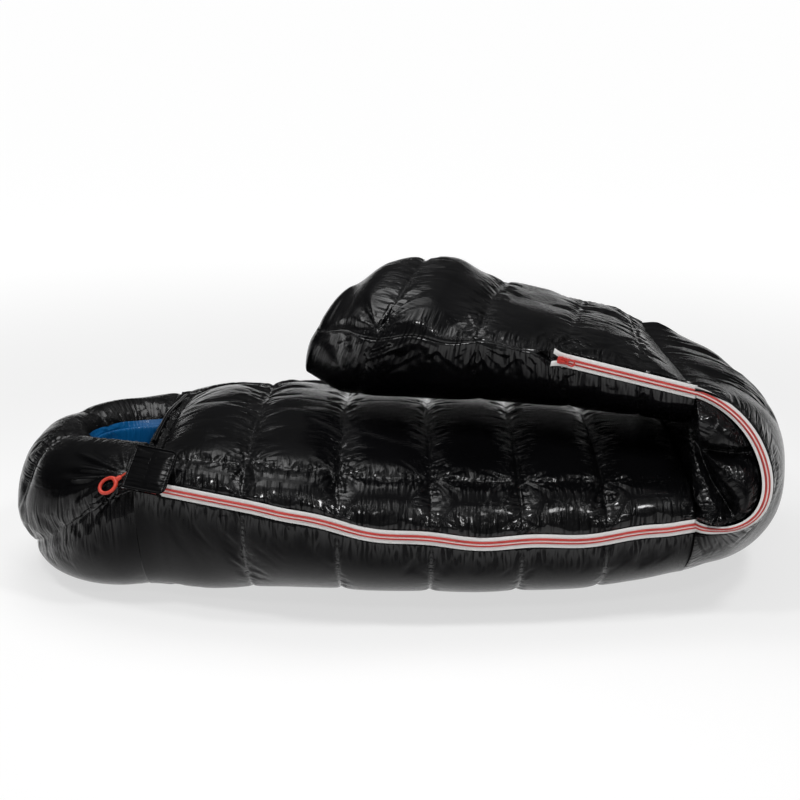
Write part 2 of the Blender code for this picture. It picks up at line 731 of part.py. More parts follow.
def slider(prefix, frame, along_sign):
    """Make a zip slider with its pull; it closes toward its local -X end."""
    outline = mirrored(SLIDER_OUTLINE)
    body = prism(f"{prefix}_body", outline, SLIDER_TOP_Z, SLIDER_TOP_Z + SLIDER_PLATE, METAL)
    low = prism("low_plate", outline, SLIDER_LOW_Z, SLIDER_LOW_Z + SLIDER_PLATE, METAL)
    combine(body, low, "UNION")
    top = SLIDER_TOP_Z + SLIDER_OVERLAP
    post = prism("post", mirrored(SLIDER_POST), SLIDER_LOW_Z + SLIDER_OVERLAP, top, METAL)
    combine(body, post, "UNION")
    for side in (-1.0, 1.0):
        rail = [(x * MM, side * y * MM) for x, y in SLIDER_RAIL]
        combine(body, prism("rail", rail, TAPE_THICK + SLIDER_RAIL_LIFT, top, METAL), "UNION")
    deck = SLIDER_TOP_Z + SLIDER_PLATE
    arch = [*ARCH_OUTLINE, *((-x, z) for x, z in reversed(ARCH_OUTLINE))]
    half = ARCH_HALF_WIDTH
    rings = [[Vector((x * MM, y, deck + z * MM)) for x, z in arch] for y in (-half, half)]
    combine(body, loft("arch", rings, METAL), "UNION")
    low, high = (deck + lift for lift in PULL_HEIGHTS)
    holes = (mirrored(PULL_SLOT), mirrored(PULL_EYE))
    pull = prism(f"{prefix}_pull", mirrored(PULL_TAB), low, high, METAL, holes)
    placed(body, frame, along_sign)
    placed(pull, frame, along_sign)
    return body, pull


def flap_frame():
    """Return the flap's corner, its direction along the neck and outward."""
    point, width, outward = torso_zip_frame(ZIP_HEAD_X + FLAP_AT)
    cosine, sine = math.cos(FLAP_LEAN), math.sin(FLAP_LEAN)
    rise = (width * cosine - outward * sine).normalized()
    face = (outward * cosine + width * sine).normalized()
    return point, rise, face, rise.cross(face)


def chin_flap():
    """Make the flap over the zip's head end and its hook patch."""
    point, rise, face, along = flap_frame()
    corner = point - along * FLAP_HINGE_BACK - rise * FLAP_DROP + face * FLAP_LIFT

    def panel(name, low, high, lift, thick, look):
        (x0, y0), (x1, y1) = low, high
        trim = (x1 - x0) * FLAP_TRIM_SHARE
        outline = ((x0, y0), (x1 - trim, y0), (x1, y0 + trim), (x1, y1 - trim), (x1 - trim, y1), (x0, y1))
        rings = []
        for n in (lift, lift + thick):
            rings.append([corner + along * a + rise * b + face * n for a, b in outline])
        obj = loft(name, rings, look)
        obj.data.transform(Matrix.Translation(-corner))
        obj.matrix_world = Matrix.Translation(corner)
        return obj

    panel("chin_flap", (FLAP_EDGE, 0.0), (FLAP_WIDTH, FLAP_HEIGHT), 0.0, FLAP_THICK, NYLON)
    low, high = ((FLAP_WIDTH - a, FLAP_HEIGHT - b) for a, b in (HOOK_LOW, HOOK_HIGH))
    panel("flap_hook_patch", low, high, -HOOK_UNDER, HOOK_THICK, HOOK)
    return corner


def tube(name, points, radius, look, sides=10, bore=0.0):
    """Make a round bar or tube along a straight or bent line of points."""
    rings = []
    for i, point in enumerate(points):
        along = (points[min(i + 1, len(points) - 1)] - points[max(i - 1, 0)]).normalized()
        across = along.cross(Vector((0, 0, 1))).normalized()
        up = across.cross(along)
        turns = [2 * math.pi * k / sides for k in range(sides)]
        rings.append([point + (across * math.cos(a) + up * math.sin(a)) * radius for a in turns])
    obj = loft(name, rings, look)
    if bore:
        along = (points[-1] - points[0]).normalized() * 5 * MM
        longer = [points[0] - along, points[-1] + along]
        combine(obj, tube(f"{name}_bore", longer, bore, look, 12), "DIFFERENCE")
    return obj


def drawcord():
    """Make the drawcord, its sleeve under the flap and its pull ring."""
    point, rise, face, along = flap_frame()
    basis = (along, rise, face)
    mouth = point + sum((axis * part for axis, part in zip(basis, CORD_MOUTH)), Vector())
    out = sum((axis * part for axis, part in zip(basis, CORD_OUT)), Vector()).normalized()
    sleeve = [mouth, mouth - out * SLEEVE_LENGTH]
    tube("drawcord_sleeve", sleeve, SLEEVE_RADIUS, NYLON, 12, CORD_RADIUS + SLEEVE_CLEARANCE)
    tube("drawcord", [mouth - out * CORD_TAIL, mouth + out * CORD_LEAD], CORD_RADIUS, CORD, 10)
    pull_ring(mouth + out * (RING_LEAD + RING_RADIUS), out, face)
    return mouth, out


def pull_ring(centre, out, face):
    """Make the moulded ring on the cord's end, thicker where the cord meets it."""
    across = out.cross(face).normalized()
    mesh = bmesh.new()
    loops = []
    for i in range(RING_STEPS):
        turn = 2 * math.pi * i / RING_STEPS
        spoke = out * math.cos(turn) + across * math.sin(turn) * RING_FLATNESS
        wire = RING_WIRE * (1.0 + RING_GRIP * max(0.0, -math.cos(turn)) ** 6)
        loop = []
        for k in range(RING_SIDES):
            a = 2 * math.pi * k / RING_SIDES
            reach = RING_RADIUS + wire * math.cos(a)
            loop.append(mesh.verts.new(centre + spoke * reach + face * wire * math.sin(a)))
        loops.append(loop)
    for i, near in enumerate(loops):
        far = loops[(i + 1) % RING_STEPS]
        for k in range(RING_SIDES):
            j = (k + 1) % RING_SIDES
            mesh.faces.new((near[k], near[j], far[j], far[k]))
    return solid_from("drawcord_pull_ring", mesh, MOULDED)


def neck_binding():
    """Make the bound edge over the neck, from the flap to the far side."""
    x = NECK_X + BINDING_AT
    points = [torso_point(x, angle, -BINDING_LIFT) for angle in spread(*BINDING_ANGLES, 14)]
    return tube("neck_binding", points, BINDING_RADIUS, NYLON, 8)


def build():
    """Make every piece of the bag."""
    torso_top("neck_collar", NECK_X, TORSO_SEAMS[0])
    for i, (low, high) in enumerate(zip(TORSO_SEAMS, TORSO_SEAMS[1:]), 1):
        torso_top(f"torso_top_chamber_{i}", low, high)
        first = NECK_X if i == 1 else low
        torso_side(f"torso_front_chamber_{i}", (first, high), True)
        torso_bottom(f"torso_bottom_chamber_{i}", first, high)
    torso_side("torso_back_panel_1", (NECK_X, *TORSO_SEAMS[1:4]), False)
    torso_side("torso_back_panel_2", TORSO_SEAMS[3:], False)
    for i, (high, low) in enumerate(zip(LEG_SEAMS, LEG_SEAMS[1:]), 1):
        leg_chamber(f"leg_over_chamber_{i}", low, high, True)
        leg_chamber(f"leg_under_chamber_{i}", low, high, False)
    foot_cap()
    fold_outer()
    fold_inner()
    third = math.pi / 3
    hood_chamber("hood_front_cheek", 0.0, third)
    hood_chamber("hood_crown", third, 2 * third)
    hood_chamber("hood_back_cheek", 2 * third, math.pi)
    wedge = SHOULDER_ANGLE - SHOULDER_TRIM
    shoulder_chamber("hood_front_shoulder", HOOD_TURN_GAP, wedge)
    shoulder_chamber("hood_back_shoulder", math.pi - wedge, math.pi - HOOD_TURN_GAP)
    hood_base()
    hood_lining()
    far = FOLD_X - LINING_END
    lining_sheet("lining_floor", NECK_X, far, lambda x: HOLLOW_FLOOR_Z + GAP)
    lining_sheet("lining_roof", NECK_X + LINING_END, far, lambda x: eased(TORSO, x, 4) - GAP)
    draft_tube()
    zips()
    slider("foot_slider", leg_zip_frame(ZIP_FOOT_X + FOOT_SLIDER_AT), 1.0)
    slider("head_slider", torso_zip_frame(ZIP_HEAD_X + HEAD_SLIDER_AT), 1.0)
    chin_flap()
    drawcord()
    neck_binding()
    centre_outline()


def centre_outline():
    """Shift every piece so that the bag's outline is centred on the origin."""
    shift = Matrix.Translation((CENTRE_SHIFT_X, 0, 0))
    for obj in bpy.data.objects:
        if obj.matrix_world.translation.length > 0:
            obj.matrix_world = shift @ obj.matrix_world
        else:
            obj.data.transform(shift)


build()
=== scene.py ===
"""Looks of a black mummy sleeping bag, folded once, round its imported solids.

Units are metres and +Z is up. The hood lies at -X, the fold at +X, the legs lie
back over the body, and the zip runs along the -Y side.
"""

import logging
import math
from collections.abc import Sequence
from dataclasses import dataclass, field
from enum import Enum

import bpy
import numpy as np
from bpy.types import ID, Light, Material, Mesh, Node, NodeSocket, NodeTree, Object, World
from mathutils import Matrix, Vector


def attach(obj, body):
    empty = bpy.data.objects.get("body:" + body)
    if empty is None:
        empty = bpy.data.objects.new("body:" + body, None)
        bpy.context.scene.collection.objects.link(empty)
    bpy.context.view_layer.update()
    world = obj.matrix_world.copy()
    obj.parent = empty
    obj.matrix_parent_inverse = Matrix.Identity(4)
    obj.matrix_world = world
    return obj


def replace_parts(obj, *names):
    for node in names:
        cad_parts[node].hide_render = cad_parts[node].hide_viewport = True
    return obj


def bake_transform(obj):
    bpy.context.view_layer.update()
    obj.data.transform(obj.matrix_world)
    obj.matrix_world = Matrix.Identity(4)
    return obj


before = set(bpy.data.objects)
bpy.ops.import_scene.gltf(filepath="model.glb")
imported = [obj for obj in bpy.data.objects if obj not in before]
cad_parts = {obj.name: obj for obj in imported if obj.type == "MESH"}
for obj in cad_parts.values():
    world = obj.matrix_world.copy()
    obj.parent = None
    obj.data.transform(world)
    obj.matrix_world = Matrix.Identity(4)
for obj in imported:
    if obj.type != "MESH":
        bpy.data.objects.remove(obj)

Pair = tuple[float, float]
Point = tuple[float, float, float]
Colour = tuple[float, float, float]
Values = float | np.ndarray

LOG = logging.getLogger("sleeping_bag")
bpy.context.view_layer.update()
UP = Vector((0.0, 0.0, 1.0))


class Slot(Enum):
    """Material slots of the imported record."""

    SHELL = "shell_nylon"
    LINING = "lining_nylon"
    TAPE = "zip_tape"
    COIL = "zip_coil"
    CORD = "drawcord"
    MOULDING = "pull_moulding"


class Body(Enum):
    """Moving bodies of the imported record."""

    TORSO = "torso"
    LEGS = "leg_section"
    FLAP = "chin_flap"
    CORD = "drawcord"


class Noise(Enum):
    """Seeds, one for each kind of irregular cloth."""

    TORSO = 11
    LEGS = 23
    FOLD_OUT = 37
    FOLD_IN = 41
    HOOD = 53
    FLAP = 67


# Shader building


class NodeSketch:
    """A short way to add and join nodes in one tree."""

    def __init__(self, tree: NodeTree) -> None:
        """Keep the tree that the nodes go into."""
        self.tree = tree

    def feed(self, socket: NodeSocket, value: object) -> None:
        """Join a socket to another one, or give it a plain value."""
        if isinstance(value, NodeSocket):
            self.tree.links.new(value, socket)
        else:
            socket.default_value = value

    def add(self, kind: str, settings: dict | None = None, **inputs: object) -> Node:
        """Add a node.

        Args:
            kind: Blender's type name of the node, without ShaderNode.
            settings: Properties of the node itself.
            **inputs: Values or sockets for its inputs; i0, i1 name them by number.

        Returns:
            The new node.
        """
        node = self.tree.nodes.new("ShaderNode" + kind)
        for key, value in (settings or {}).items():
            setattr(node, key, value)
        for key, value in inputs.items():
            numbered = key[0] == "i" and key[1:].isdigit()
            self.feed(node.inputs[int(key[1:]) if numbered else key.replace("_", " ")], value)
        return node

    def math(self, operation: str, *values: object) -> NodeSocket:
        """Return the result of one maths step on values or sockets."""
        inputs = {f"i{n}": value for n, value in enumerate(values)}
        return self.add("Math", {"operation": operation}, **inputs).outputs[0]

    def ramp(self, factor: NodeSocket, low: float, high: float) -> NodeSocket:
        """Return a smooth step of a value between two limits."""
        settings = {"interpolation_type": "SMOOTHSTEP"}
        return self.add("MapRange", settings, i0=factor, i1=low, i2=high).outputs[0]

    def mix(self, factor: object, first: object, second: object) -> NodeSocket:
        """Return a mix of two colours by a factor."""
        return self.add("Mix", {"data_type": "RGBA"}, i0=factor, i6=first, i7=second).outputs[2]

    def centred(self, value: NodeSocket) -> NodeSocket:
        """Return how far a value lies from one half."""
        return self.math("ABSOLUTE", self.math("SUBTRACT", value, 0.5))

    def cell(self, value: NodeSocket, pitch: NodeSocket) -> NodeSocket:
        """Return how far a value lies from the middle of its cell, in cells of one pitch."""
        return self.centred(self.math("FRACT", self.math("DIVIDE", value, pitch)))


class ClothGroups:
    """Shader node groups that several finishes share."""

    rip_edge: Pair = (0.42, 0.48)
    rip_height: float = 1.2
    slow_scale: float = 0.12
    patch_edge: Pair = (0.35, 0.65)
    line_edge: Pair = (1.0, 0.6)
    dash_edge: Pair = (0.36, 0.28)
    uneven_scale: float = 38.0
    uneven_reach: float = 2.2
    ridge_slant: float = 0.6
    ridge_fall: float = -5.0
    ridge_top: float = 0.6
    crest_edge: Pair = (0.15, 0.03)

    def __init__(self) -> None:
        """Build each group once."""
        self.weave = self._weave()
        self.crinkle = self._crinkle()
        self.stitches = self._stitches()
        self.puckers = self._puckers()

    @staticmethod
    def _new(
        name: str, inputs: dict[str, str], outputs: tuple[str, ...]
    ) -> tuple[NodeSketch, Node, Node]:
        """Start a group with named sockets.

        Args:
            name: Name of the group.
            inputs: Socket type for each input name.
            outputs: Names of float outputs.

        Returns:
            The group's sketch, its input node and its output node.
        """
        tree = bpy.data.node_groups.new(name, "ShaderNodeTree")
        for title, kind in inputs.items():
            tree.interface.new_socket(title, in_out="INPUT", socket_type=kind)
        for title in outputs:
            tree.interface.new_socket(title, in_out="OUTPUT", socket_type="NodeSocketFloat")
        sketch = NodeSketch(tree)
        return sketch, tree.nodes.new("NodeGroupInput"), tree.nodes.new("NodeGroupOutput")

    def _weave(self) -> NodeTree:
        """Return plain-woven threads with a heavier thread now and then."""
        kinds = {"Vector": "NodeSocketVector", "Pitch": "NodeSocketFloat", "Rip Pitch": "NodeSocketFloat"}
        sketch, start, end = self._new("woven_threads", kinds, ("Height", "Rip"))
        split = sketch.add("SeparateXYZ", i0=start.outputs["Vector"])
        waves, rips = [], []
        for axis in (0, 1):
            turns = sketch.math("DIVIDE", split.outputs[axis], start.outputs["Pitch"])
            waves.append(sketch.math("SINE", sketch.math("MULTIPLY", turns, 2 * math.pi)))
            cell = sketch.cell(split.outputs[axis], start.outputs["Rip Pitch"])
            rips.append(sketch.ramp(cell, *self.rip_edge))
        plain = sketch.math("MULTIPLY", waves[0], waves[1])
        grid = sketch.math("MAXIMUM", rips[0], rips[1])
        sketch.feed(end.inputs["Height"], sketch.math("MULTIPLY_ADD", grid, self.rip_height, plain))
        sketch.feed(end.inputs["Rip"], grid)
        return sketch.tree

    def _crinkle(self) -> NodeTree:
        """Return fine irregular creases and a slow patchiness."""
        kinds = {"Vector": "NodeSocketVector", "Scale": "NodeSocketFloat"}
        sketch, start, end = self._new("fine_creases", kinds, ("Height", "Patch"))
        source, scale = start.outputs["Vector"], start.outputs["Scale"]
        fine = sketch.add("TexNoise", Vector=source, Scale=scale, Detail=3.0, Distortion=0.8)
        folded = sketch.centred(fine.outputs[0])
        wide = sketch.math("MULTIPLY", scale, self.slow_scale)
        slow = sketch.add("TexNoise", Vector=source, Scale=wide, Detail=2.0)
        sketch.feed(end.inputs["Height"], sketch.math("MULTIPLY_ADD", folded, -2.0, slow.outputs[0]))
        sketch.feed(end.inputs["Patch"], sketch.ramp(slow.outputs[0], *self.patch_edge))
        return sketch.tree

    def _stitches(self) -> NodeTree:
        """Return a row of stitches from the distance to a seam and the run along it."""
        kinds = {name: "NodeSocketFloat" for name in ("Away", "Run", "Width", "Pitch")}
        sketch, start, end = self._new("stitch_row", kinds, ("Thread",))
        near = sketch.math("DIVIDE", start.outputs["Away"], start.outputs["Width"])
        line = sketch.ramp(sketch.math("ABSOLUTE", near), *self.line_edge)
        dash = sketch.ramp(sketch.cell(start.outputs["Run"], start.outputs["Pitch"]), *self.dash_edge)
        sketch.feed(end.inputs["Thread"], sketch.math("MULTIPLY", line, dash))
        return sketch.tree

    def _puckers(self) -> NodeTree:
        """Return fine ridges square to a seam, from the distance to it and the run along it."""
        kinds = {name: "NodeSocketFloat" for name in ("Away", "Run", "Pitch", "Reach")}
        sketch, start, end = self._new("seam_puckers", kinds, ("Height", "Ridge"))
        slow = sketch.add("CombineXYZ", i0=sketch.math("MULTIPLY", start.outputs["Run"], self.uneven_scale))
        uneven = sketch.add("TexNoise", Vector=slow.outputs[0], Scale=1.0)
        longer = sketch.math("MULTIPLY", uneven.outputs[0], self.uneven_reach)
        reach = sketch.math("MULTIPLY", start.outputs["Reach"], longer)
        out = sketch.math("DIVIDE", start.outputs["Away"], reach)
        across = sketch.math("DIVIDE", start.outputs["Run"], start.outputs["Pitch"])
        place = sketch.add("CombineXYZ", i0=across, i1=sketch.math("MULTIPLY", out, self.ridge_slant))
        noise = sketch.add("TexNoise", Vector=place.outputs[0], Scale=1.0, Detail=1.0)
        ridge = sketch.centred(noise.outputs[0])
        fade = sketch.math("EXPONENT", sketch.math("MULTIPLY", sketch.math("MULTIPLY", out, out), -1.0))
        high = sketch.math("MULTIPLY_ADD", ridge, self.ridge_fall, self.ridge_top)
        sketch.feed(end.inputs["Height"], sketch.math("MULTIPLY", high, fade))
        sketch.feed(end.inputs["Ridge"], sketch.math("MULTIPLY", sketch.ramp(ridge, *self.crest_edge), fade))
        return sketch.tree

    @staticmethod
    def place(sketch: NodeSketch, tree: NodeTree, **inputs: object) -> Node:
        """Place one group in a material with its own values."""
        return sketch.add("Group", {"node_tree": tree}, **inputs)


GROUPS = ClothGroups()


@dataclass(frozen=True)
class Finish:
    """One surface finish: a colour with a darker patch of it, and its gloss."""

    name: str
    colour: Colour
    shade: Colour
    roughness: float
    specular: float = 0.5

    def start(self) -> tuple[Material, NodeSketch, Node, Node]:
        """Make the material.

        Returns:
            The material, its sketch, its shader and a node of coordinates.
        """
        material = bpy.data.materials.new(self.name)
        material.use_nodes = True
        shader = material.node_tree.nodes["Principled BSDF"]
        shader.inputs["Specular IOR Level"].default_value = self.specular
        sketch = NodeSketch(material.node_tree)
        return material, sketch, shader, sketch.add("TexCoord")

    def tint(
        self, sketch: NodeSketch, shader: Node, patch: NodeSocket, spread: float
    ) -> NodeSocket:
        """Feed the colour and roughness from a patchiness.

        Args:
            sketch: Sketch of the material.
            shader: Its shader.
            patch: Patchiness between 0 and 1.
            spread: Roughness that a full patch adds.

        Returns:
            The colour.
        """
        mixed = sketch.mix(patch, (*self.colour, 1.0), (*self.shade, 1.0))
        sketch.feed(shader.inputs["Base Color"], mixed)
        rough = sketch.math("MULTIPLY_ADD", patch, spread, self.roughness)
        sketch.feed(shader.inputs["Roughness"], rough)
        return mixed

    @staticmethod
    def creases(sketch: NodeSketch, coords: Node, scale: float = 60.0) -> Node:
        """Place the fine creases, by places in space."""
        return GROUPS.place(sketch, GROUPS.crinkle, Vector=coords.outputs["Object"], Scale=scale)

    @staticmethod
    def bump(
        sketch: NodeSketch,
        shader: Node,
        height: NodeSocket,
        strength: float,
        depth: float,
    ) -> None:
        """Feed the shader's normal from a height."""
        node = sketch.add("Bump", Strength=strength, Distance=depth, Height=height)
        sketch.feed(shader.inputs["Normal"], node.outputs[0])

    def material(self) -> Material:
        """Return the finished material."""
        raise NotImplementedError


@dataclass(frozen=True)
class QuiltNylon(Finish):
    """Thin downproof nylon with fine creases, rip threads and sewn seams."""

    thread: Colour = (0.006, 0.006, 0.0065)
    pitch: float = 0.0009
    rip_pitch: float = 0.0052
    weave: float = 0.010
    stitch_width: float = 0.0011
    stitch_pitch: float = 0.0042
    stitch: float = 0.12
    gather_pitch: float = 0.0080
    gather_reach: float = 0.038
    gather_height: float = 0.0018
    crinkle: float = 0.06
    patch_spread: float = 0.04
    ridge_shine: float = 0.7
    ridge_roughness: float = 0.11

    def material(self) -> Material:
        """Return the nylon with its weave, creases and stitches."""
        material, sketch, shader, coords = self.start()
        weave = GROUPS.place(
            sketch, GROUPS.weave, Vector=coords.outputs["UV"], Pitch=self.pitch, Rip_Pitch=self.rip_pitch
        )
        crease = self.creases(sketch, coords)
        titles = ("seam_away", "seam_run", "fold_ridge")
        away, run, ridge = (
            sketch.add("Attribute", {"attribute_name": title}).outputs["Fac"] for title in titles
        )
        sewn = GROUPS.place(
            sketch, GROUPS.stitches, Away=away, Run=run, Width=self.stitch_width, Pitch=self.stitch_pitch
        ).outputs["Thread"]
        gathered = GROUPS.place(
            sketch, GROUPS.puckers, Away=away, Run=run, Pitch=self.gather_pitch, Reach=self.gather_reach
        )
        cloth = self.tint(sketch, shader, crease.outputs["Patch"], self.patch_spread)
        sketch.feed(shader.inputs["Base Color"], sketch.mix(sewn, cloth, (*self.thread, 1.0)))
        height = gathered.outputs["Height"]
        layers = (
            (weave.outputs["Height"], self.weave),
            (crease.outputs["Height"], self.crinkle),
            (sewn, self.stitch),
        )
        for layer, share in layers:
            height = sketch.math("MULTIPLY_ADD", layer, share, height)
        self.bump(sketch, shader, height, 1.0, self.gather_height)
        shine = sketch.math("MAXIMUM", gathered.outputs["Ridge"], ridge)
        sketch.feed(shader.inputs["Coat Weight"], sketch.math("MULTIPLY", shine, self.ridge_shine))
        shader.inputs["Coat Roughness"].default_value = self.ridge_roughness
        return material


@dataclass(frozen=True)
class WovenTape(Finish):
    """Tightly woven polyester tape with ribs across it."""

    pitch: float = 0.0010
    rip_pitch: float = 0.0042

    def material(self) -> Material:
        """Return the tape with its ribs and slightly soiled patches."""
        material, sketch, shader, coords = self.start()
        weave = GROUPS.place(
            sketch, GROUPS.weave, Vector=coords.outputs["UV"], Pitch=self.pitch, Rip_Pitch=self.rip_pitch
        )
        crease = self.creases(sketch, coords)
        self.tint(sketch, shader, crease.outputs["Patch"], 0.05)
        self.bump(sketch, shader, weave.outputs["Height"], 0.35, 0.0003)
        return material


@dataclass(frozen=True)
class CoilNylon(Finish):
    """Red coil strands with a pale line where the two rows mesh."""

    pale: Colour = (0.82, 0.68, 0.66)
    half_width: float = 0.0044
    pale_edge: Pair = (0.32, 0.20)
    grain: float = 400.0

    def material(self) -> Material:
        """Return the coil, coloured across its width."""
        material, sketch, shader, coords = self.start()
        split = sketch.add("SeparateXYZ", i0=coords.outputs["UV"])
        across = sketch.math("ABSOLUTE", sketch.math("DIVIDE", split.outputs[1], self.half_width))
        crease = self.creases(sketch, coords, self.grain)
        strand = self.tint(sketch, shader, crease.outputs["Patch"], 0.10)
        middle = sketch.mix(sketch.ramp(across, *self.pale_edge), strand, (*self.pale, 1.0))
        sketch.feed(shader.inputs["Base Color"], middle)
        self.bump(sketch, shader, crease.outputs["Height"], 0.2, 0.0002)
        return material


@dataclass(frozen=True)
class MouldedOrPainted(Finish):
    """Moulded rubber or painted metal with a fine grain and worn patches."""

    grain: float = 900.0
    depth: float = 0.00008
    metallic: float = 0.0

    def material(self) -> Material:
        """Return the grained surface."""
        material, sketch, shader, coords = self.start()
        shader.inputs["Metallic"].default_value = self.metallic
        crease = self.creases(sketch, coords, self.grain)
        self.tint(sketch, shader, crease.outputs["Patch"], 0.12)
        self.bump(sketch, shader, crease.outputs["Height"], 0.4, self.depth)
        return material


@dataclass(frozen=True)
class BraidedCord(Finish):
    """Round braid of two strand directions."""

    pitch: float = 0.0034

    def material(self) -> Material:
        """Return the braid from the cord's own length and turn, with painted shade in the grooves between
        strands.
        """
        material, sketch, shader, coords = self.start()
        split = sketch.add("SeparateXYZ", i0=coords.outputs["Object"])
        total = sketch.math("ADD", split.outputs[0], split.outputs[2])
        across = sketch.math("SUBTRACT", split.outputs[1], split.outputs[2])
        strands = []
        for value in (total, across):
            turns = sketch.math("MULTIPLY", value, 2 * math.pi / self.pitch)
            strands.append(sketch.math("ABSOLUTE", sketch.math("SINE", turns)))
        height = sketch.math("MAXIMUM", *strands)
        # The darker colour goes where the braid sinks between strands: painted shade in the grooves.
        self.tint(sketch, shader, sketch.ramp(height, 0.9, 0.3), 0.1)
        self.bump(sketch, shader, height, 0.6, 0.0004)
        return material


@dataclass(frozen=True)
class PaleFloor(Finish):
    """Plain pale studio floor, which the eye sees with a lightened shadow."""

    lift: float = 0.64
    far_lift: float = 0.90
    far_edge: Pair = (0.9, 3.5)

    def material(self) -> Material:
        """Return the floor with the faintest unevenness."""
        material, sketch, shader, coords = self.start()
        slow = sketch.add("TexNoise", Vector=coords.outputs["Object"], Scale=0.8)
        plain = self.tint(sketch, shader, slow.outputs[0], 0.02)
        path = sketch.add("LightPath")
        seen = sketch.math("MAXIMUM", path.outputs["Is Camera Ray"], path.outputs["Is Glossy Ray"])
        seen = sketch.math("MAXIMUM", seen, path.outputs["Is Transmission Ray"])
        grey, near, far = ((*(level,) * 3, 1.0) for level in (1.0 - self.lift, self.lift, self.far_lift))
        sketch.feed(shader.inputs["Base Color"], sketch.mix(seen, plain, grey))
        away = sketch.add("VectorMath", {"operation": "LENGTH"}, i0=coords.outputs["Object"])
        level = sketch.mix(sketch.ramp(away.outputs["Value"], *self.far_edge), near, far)
        sketch.feed(shader.inputs["Emission Color"], sketch.mix(seen, (0.0, 0.0, 0.0, 1.0), level))
        shader.inputs["Emission Strength"].default_value = 1.0
        return material


class Finishes:
    """All finishes of the bag, made once."""

    def __init__(self) -> None:
        """Make each material."""
        black, worn = (0.0018, 0.0018, 0.0021), (0.0027, 0.0027, 0.0031)
        self.shell = QuiltNylon("shell_nylon_gloss", black, worn, 0.13, 0.08).material()
        self.trim = QuiltNylon(
            "trim_nylon", black, worn, 0.22, 0.05, pitch=0.0014, gather_height=0.0004, ridge_shine=0.08
        ).material()
        self.lining = QuiltNylon(
            "lining_nylon_blue", (0.002, 0.085, 0.24), (0.0015, 0.06, 0.18), 0.40, 0.25,
            thread=(0.004, 0.09, 0.24), gather_height=0.0010, ridge_shine=0.1
        ).material()
        self.tape = WovenTape("tape_white", (0.78, 0.77, 0.76), (0.70, 0.69, 0.68), 0.78, 0.3).material()
        self.coil = CoilNylon("coil_red", (0.54, 0.045, 0.035), (0.46, 0.035, 0.028), 0.42).material()
        self.slider = MouldedOrPainted(
            "slider_red", (0.54, 0.030, 0.020), (0.45, 0.025, 0.018), 0.26, metallic=0.15
        ).material()
        # The cord's darker second colour is painted shade for the grooves between its strands.
        self.cord = BraidedCord("cord_orange", (0.58, 0.055, 0.022), (0.40, 0.035, 0.014), 0.62).material()
        self.ring = MouldedOrPainted(
            "ring_orange", (0.58, 0.045, 0.022), (0.52, 0.038, 0.020), 0.42, grain=300.0
        ).material()
        self.hook = MouldedOrPainted(
            "hook_black", (0.012, 0.012, 0.012), (0.03, 0.03, 0.03), 0.85, grain=700.0, depth=0.0008
        ).material()
        self.thread = MouldedOrPainted(
            "thread_black", (0.03, 0.03, 0.032), (0.02, 0.02, 0.02), 0.5
        ).material()
        self.floor = PaleFloor(
            "floor_pale", (0.95, 0.95, 0.95), (0.935, 0.935, 0.935), 0.85, 0.1
        ).material()


# Smooth tables and grids


class StationTable:
    """Columns of sizes along one axis, joined by smooth curves."""

    def __init__(self, *rows: tuple[float, ...]) -> None:
        """Keep the rows in the order of their first column."""
        self.rows = np.array(sorted(rows))
        ends = np.arange(len(rows))
        self.low = np.maximum(ends - 1, 0)
        self.high = np.minimum(ends + 1, len(rows) - 1)

    def at(self, place: Values, column: int) -> np.ndarray:
        """Read one column of the table.

        Args:
            place: Place or places along the first column.
            column: Number of the column.

        Returns:
            The column's values there.
        """
        place = np.asarray(place, float)
        first, values = self.rows[:, 0], self.rows[:, column]
        slopes = (values[self.high] - values[self.low]) / (first[self.high] - first[self.low])
        at = np.clip(np.searchsorted(first, place, side="left") - 1, 0, len(first) - 2)
        span = first[at + 1] - first[at]
        t = np.clip((place - first[at]) / span, 0.0, 1.0)
        rest = 1.0 - t
        ends = values[at] * (1 + 2 * t) * rest**2 + values[at + 1] * t**2 * (3 - 2 * t)
        return ends + span * t * rest * (slopes[at] * rest - slopes[at + 1] * t)


def pillow(t: np.ndarray, power: float = 3.0) -> np.ndarray:
    """Return the height of a stuffed channel at t across it, 0 to 1."""
    return np.sqrt(np.maximum(0.0, 1.0 - np.abs(2.0 * t - 1.0) ** power))


def smooth(value: np.ndarray, low: float, high: float) -> np.ndarray:
    """Return a smooth step from 0 at low to 1 at high."""
    t = np.clip((value - low) / (high - low), 0.0, 1.0)
    return t * t * (3.0 - 2.0 * t)


def bell(value: np.ndarray, middle: float, width: float) -> np.ndarray:
    """Return a bell curve, 1 in its middle and nearly 0 at twice its width."""
    return np.exp(-(((value - middle) / width) ** 2))


def round_turns(count: int) -> np.ndarray:
    """Return evenly spaced angles of one whole turn."""
    return np.linspace(0.0, 2 * math.pi, count, endpoint=False)


def linked(name: str, data: ID) -> Object:
    """Return a new object in the scene that shows a mesh, a lamp or a camera."""
    obj = bpy.data.objects.new(name, data)
    bpy.context.scene.collection.objects.link(obj)
    return obj


def columns_between(seams: tuple[float, ...], step: float) -> tuple[np.ndarray, list[int]]:
    """Spread places between seams, with a place on each seam.

    Args:
        seams: Places of the seams, in order.
        step: Distance wanted between places.

    Returns:
        The places and the index of each seam among them.
    """
    places, marks = [], []
    for low, high in zip(seams, seams[1:]):
        count = max(3, round(abs(high - low) / step))
        marks.append(len(places))
        places += [low + (high - low) * i / count for i in range(count)]
    marks.append(len(places))
    return np.array(places + [seams[-1]]), marks


def across_channel(places: np.ndarray, seams: tuple[float, ...]) -> np.ndarray:
    """Work out how far places lie across their own channels.

    Args:
        places: Places along the seams' axis.
        seams: Places of the seams.

    Returns:
        A share between 0 and 1 for each place.
    """
    ordered = np.array(sorted(seams))
    at = np.clip(np.searchsorted(ordered, places, side="right") - 1, 0, len(ordered) - 2)
    return np.clip((places - ordered[at]) / (ordered[at + 1] - ordered[at]), 0.0, 1.0)


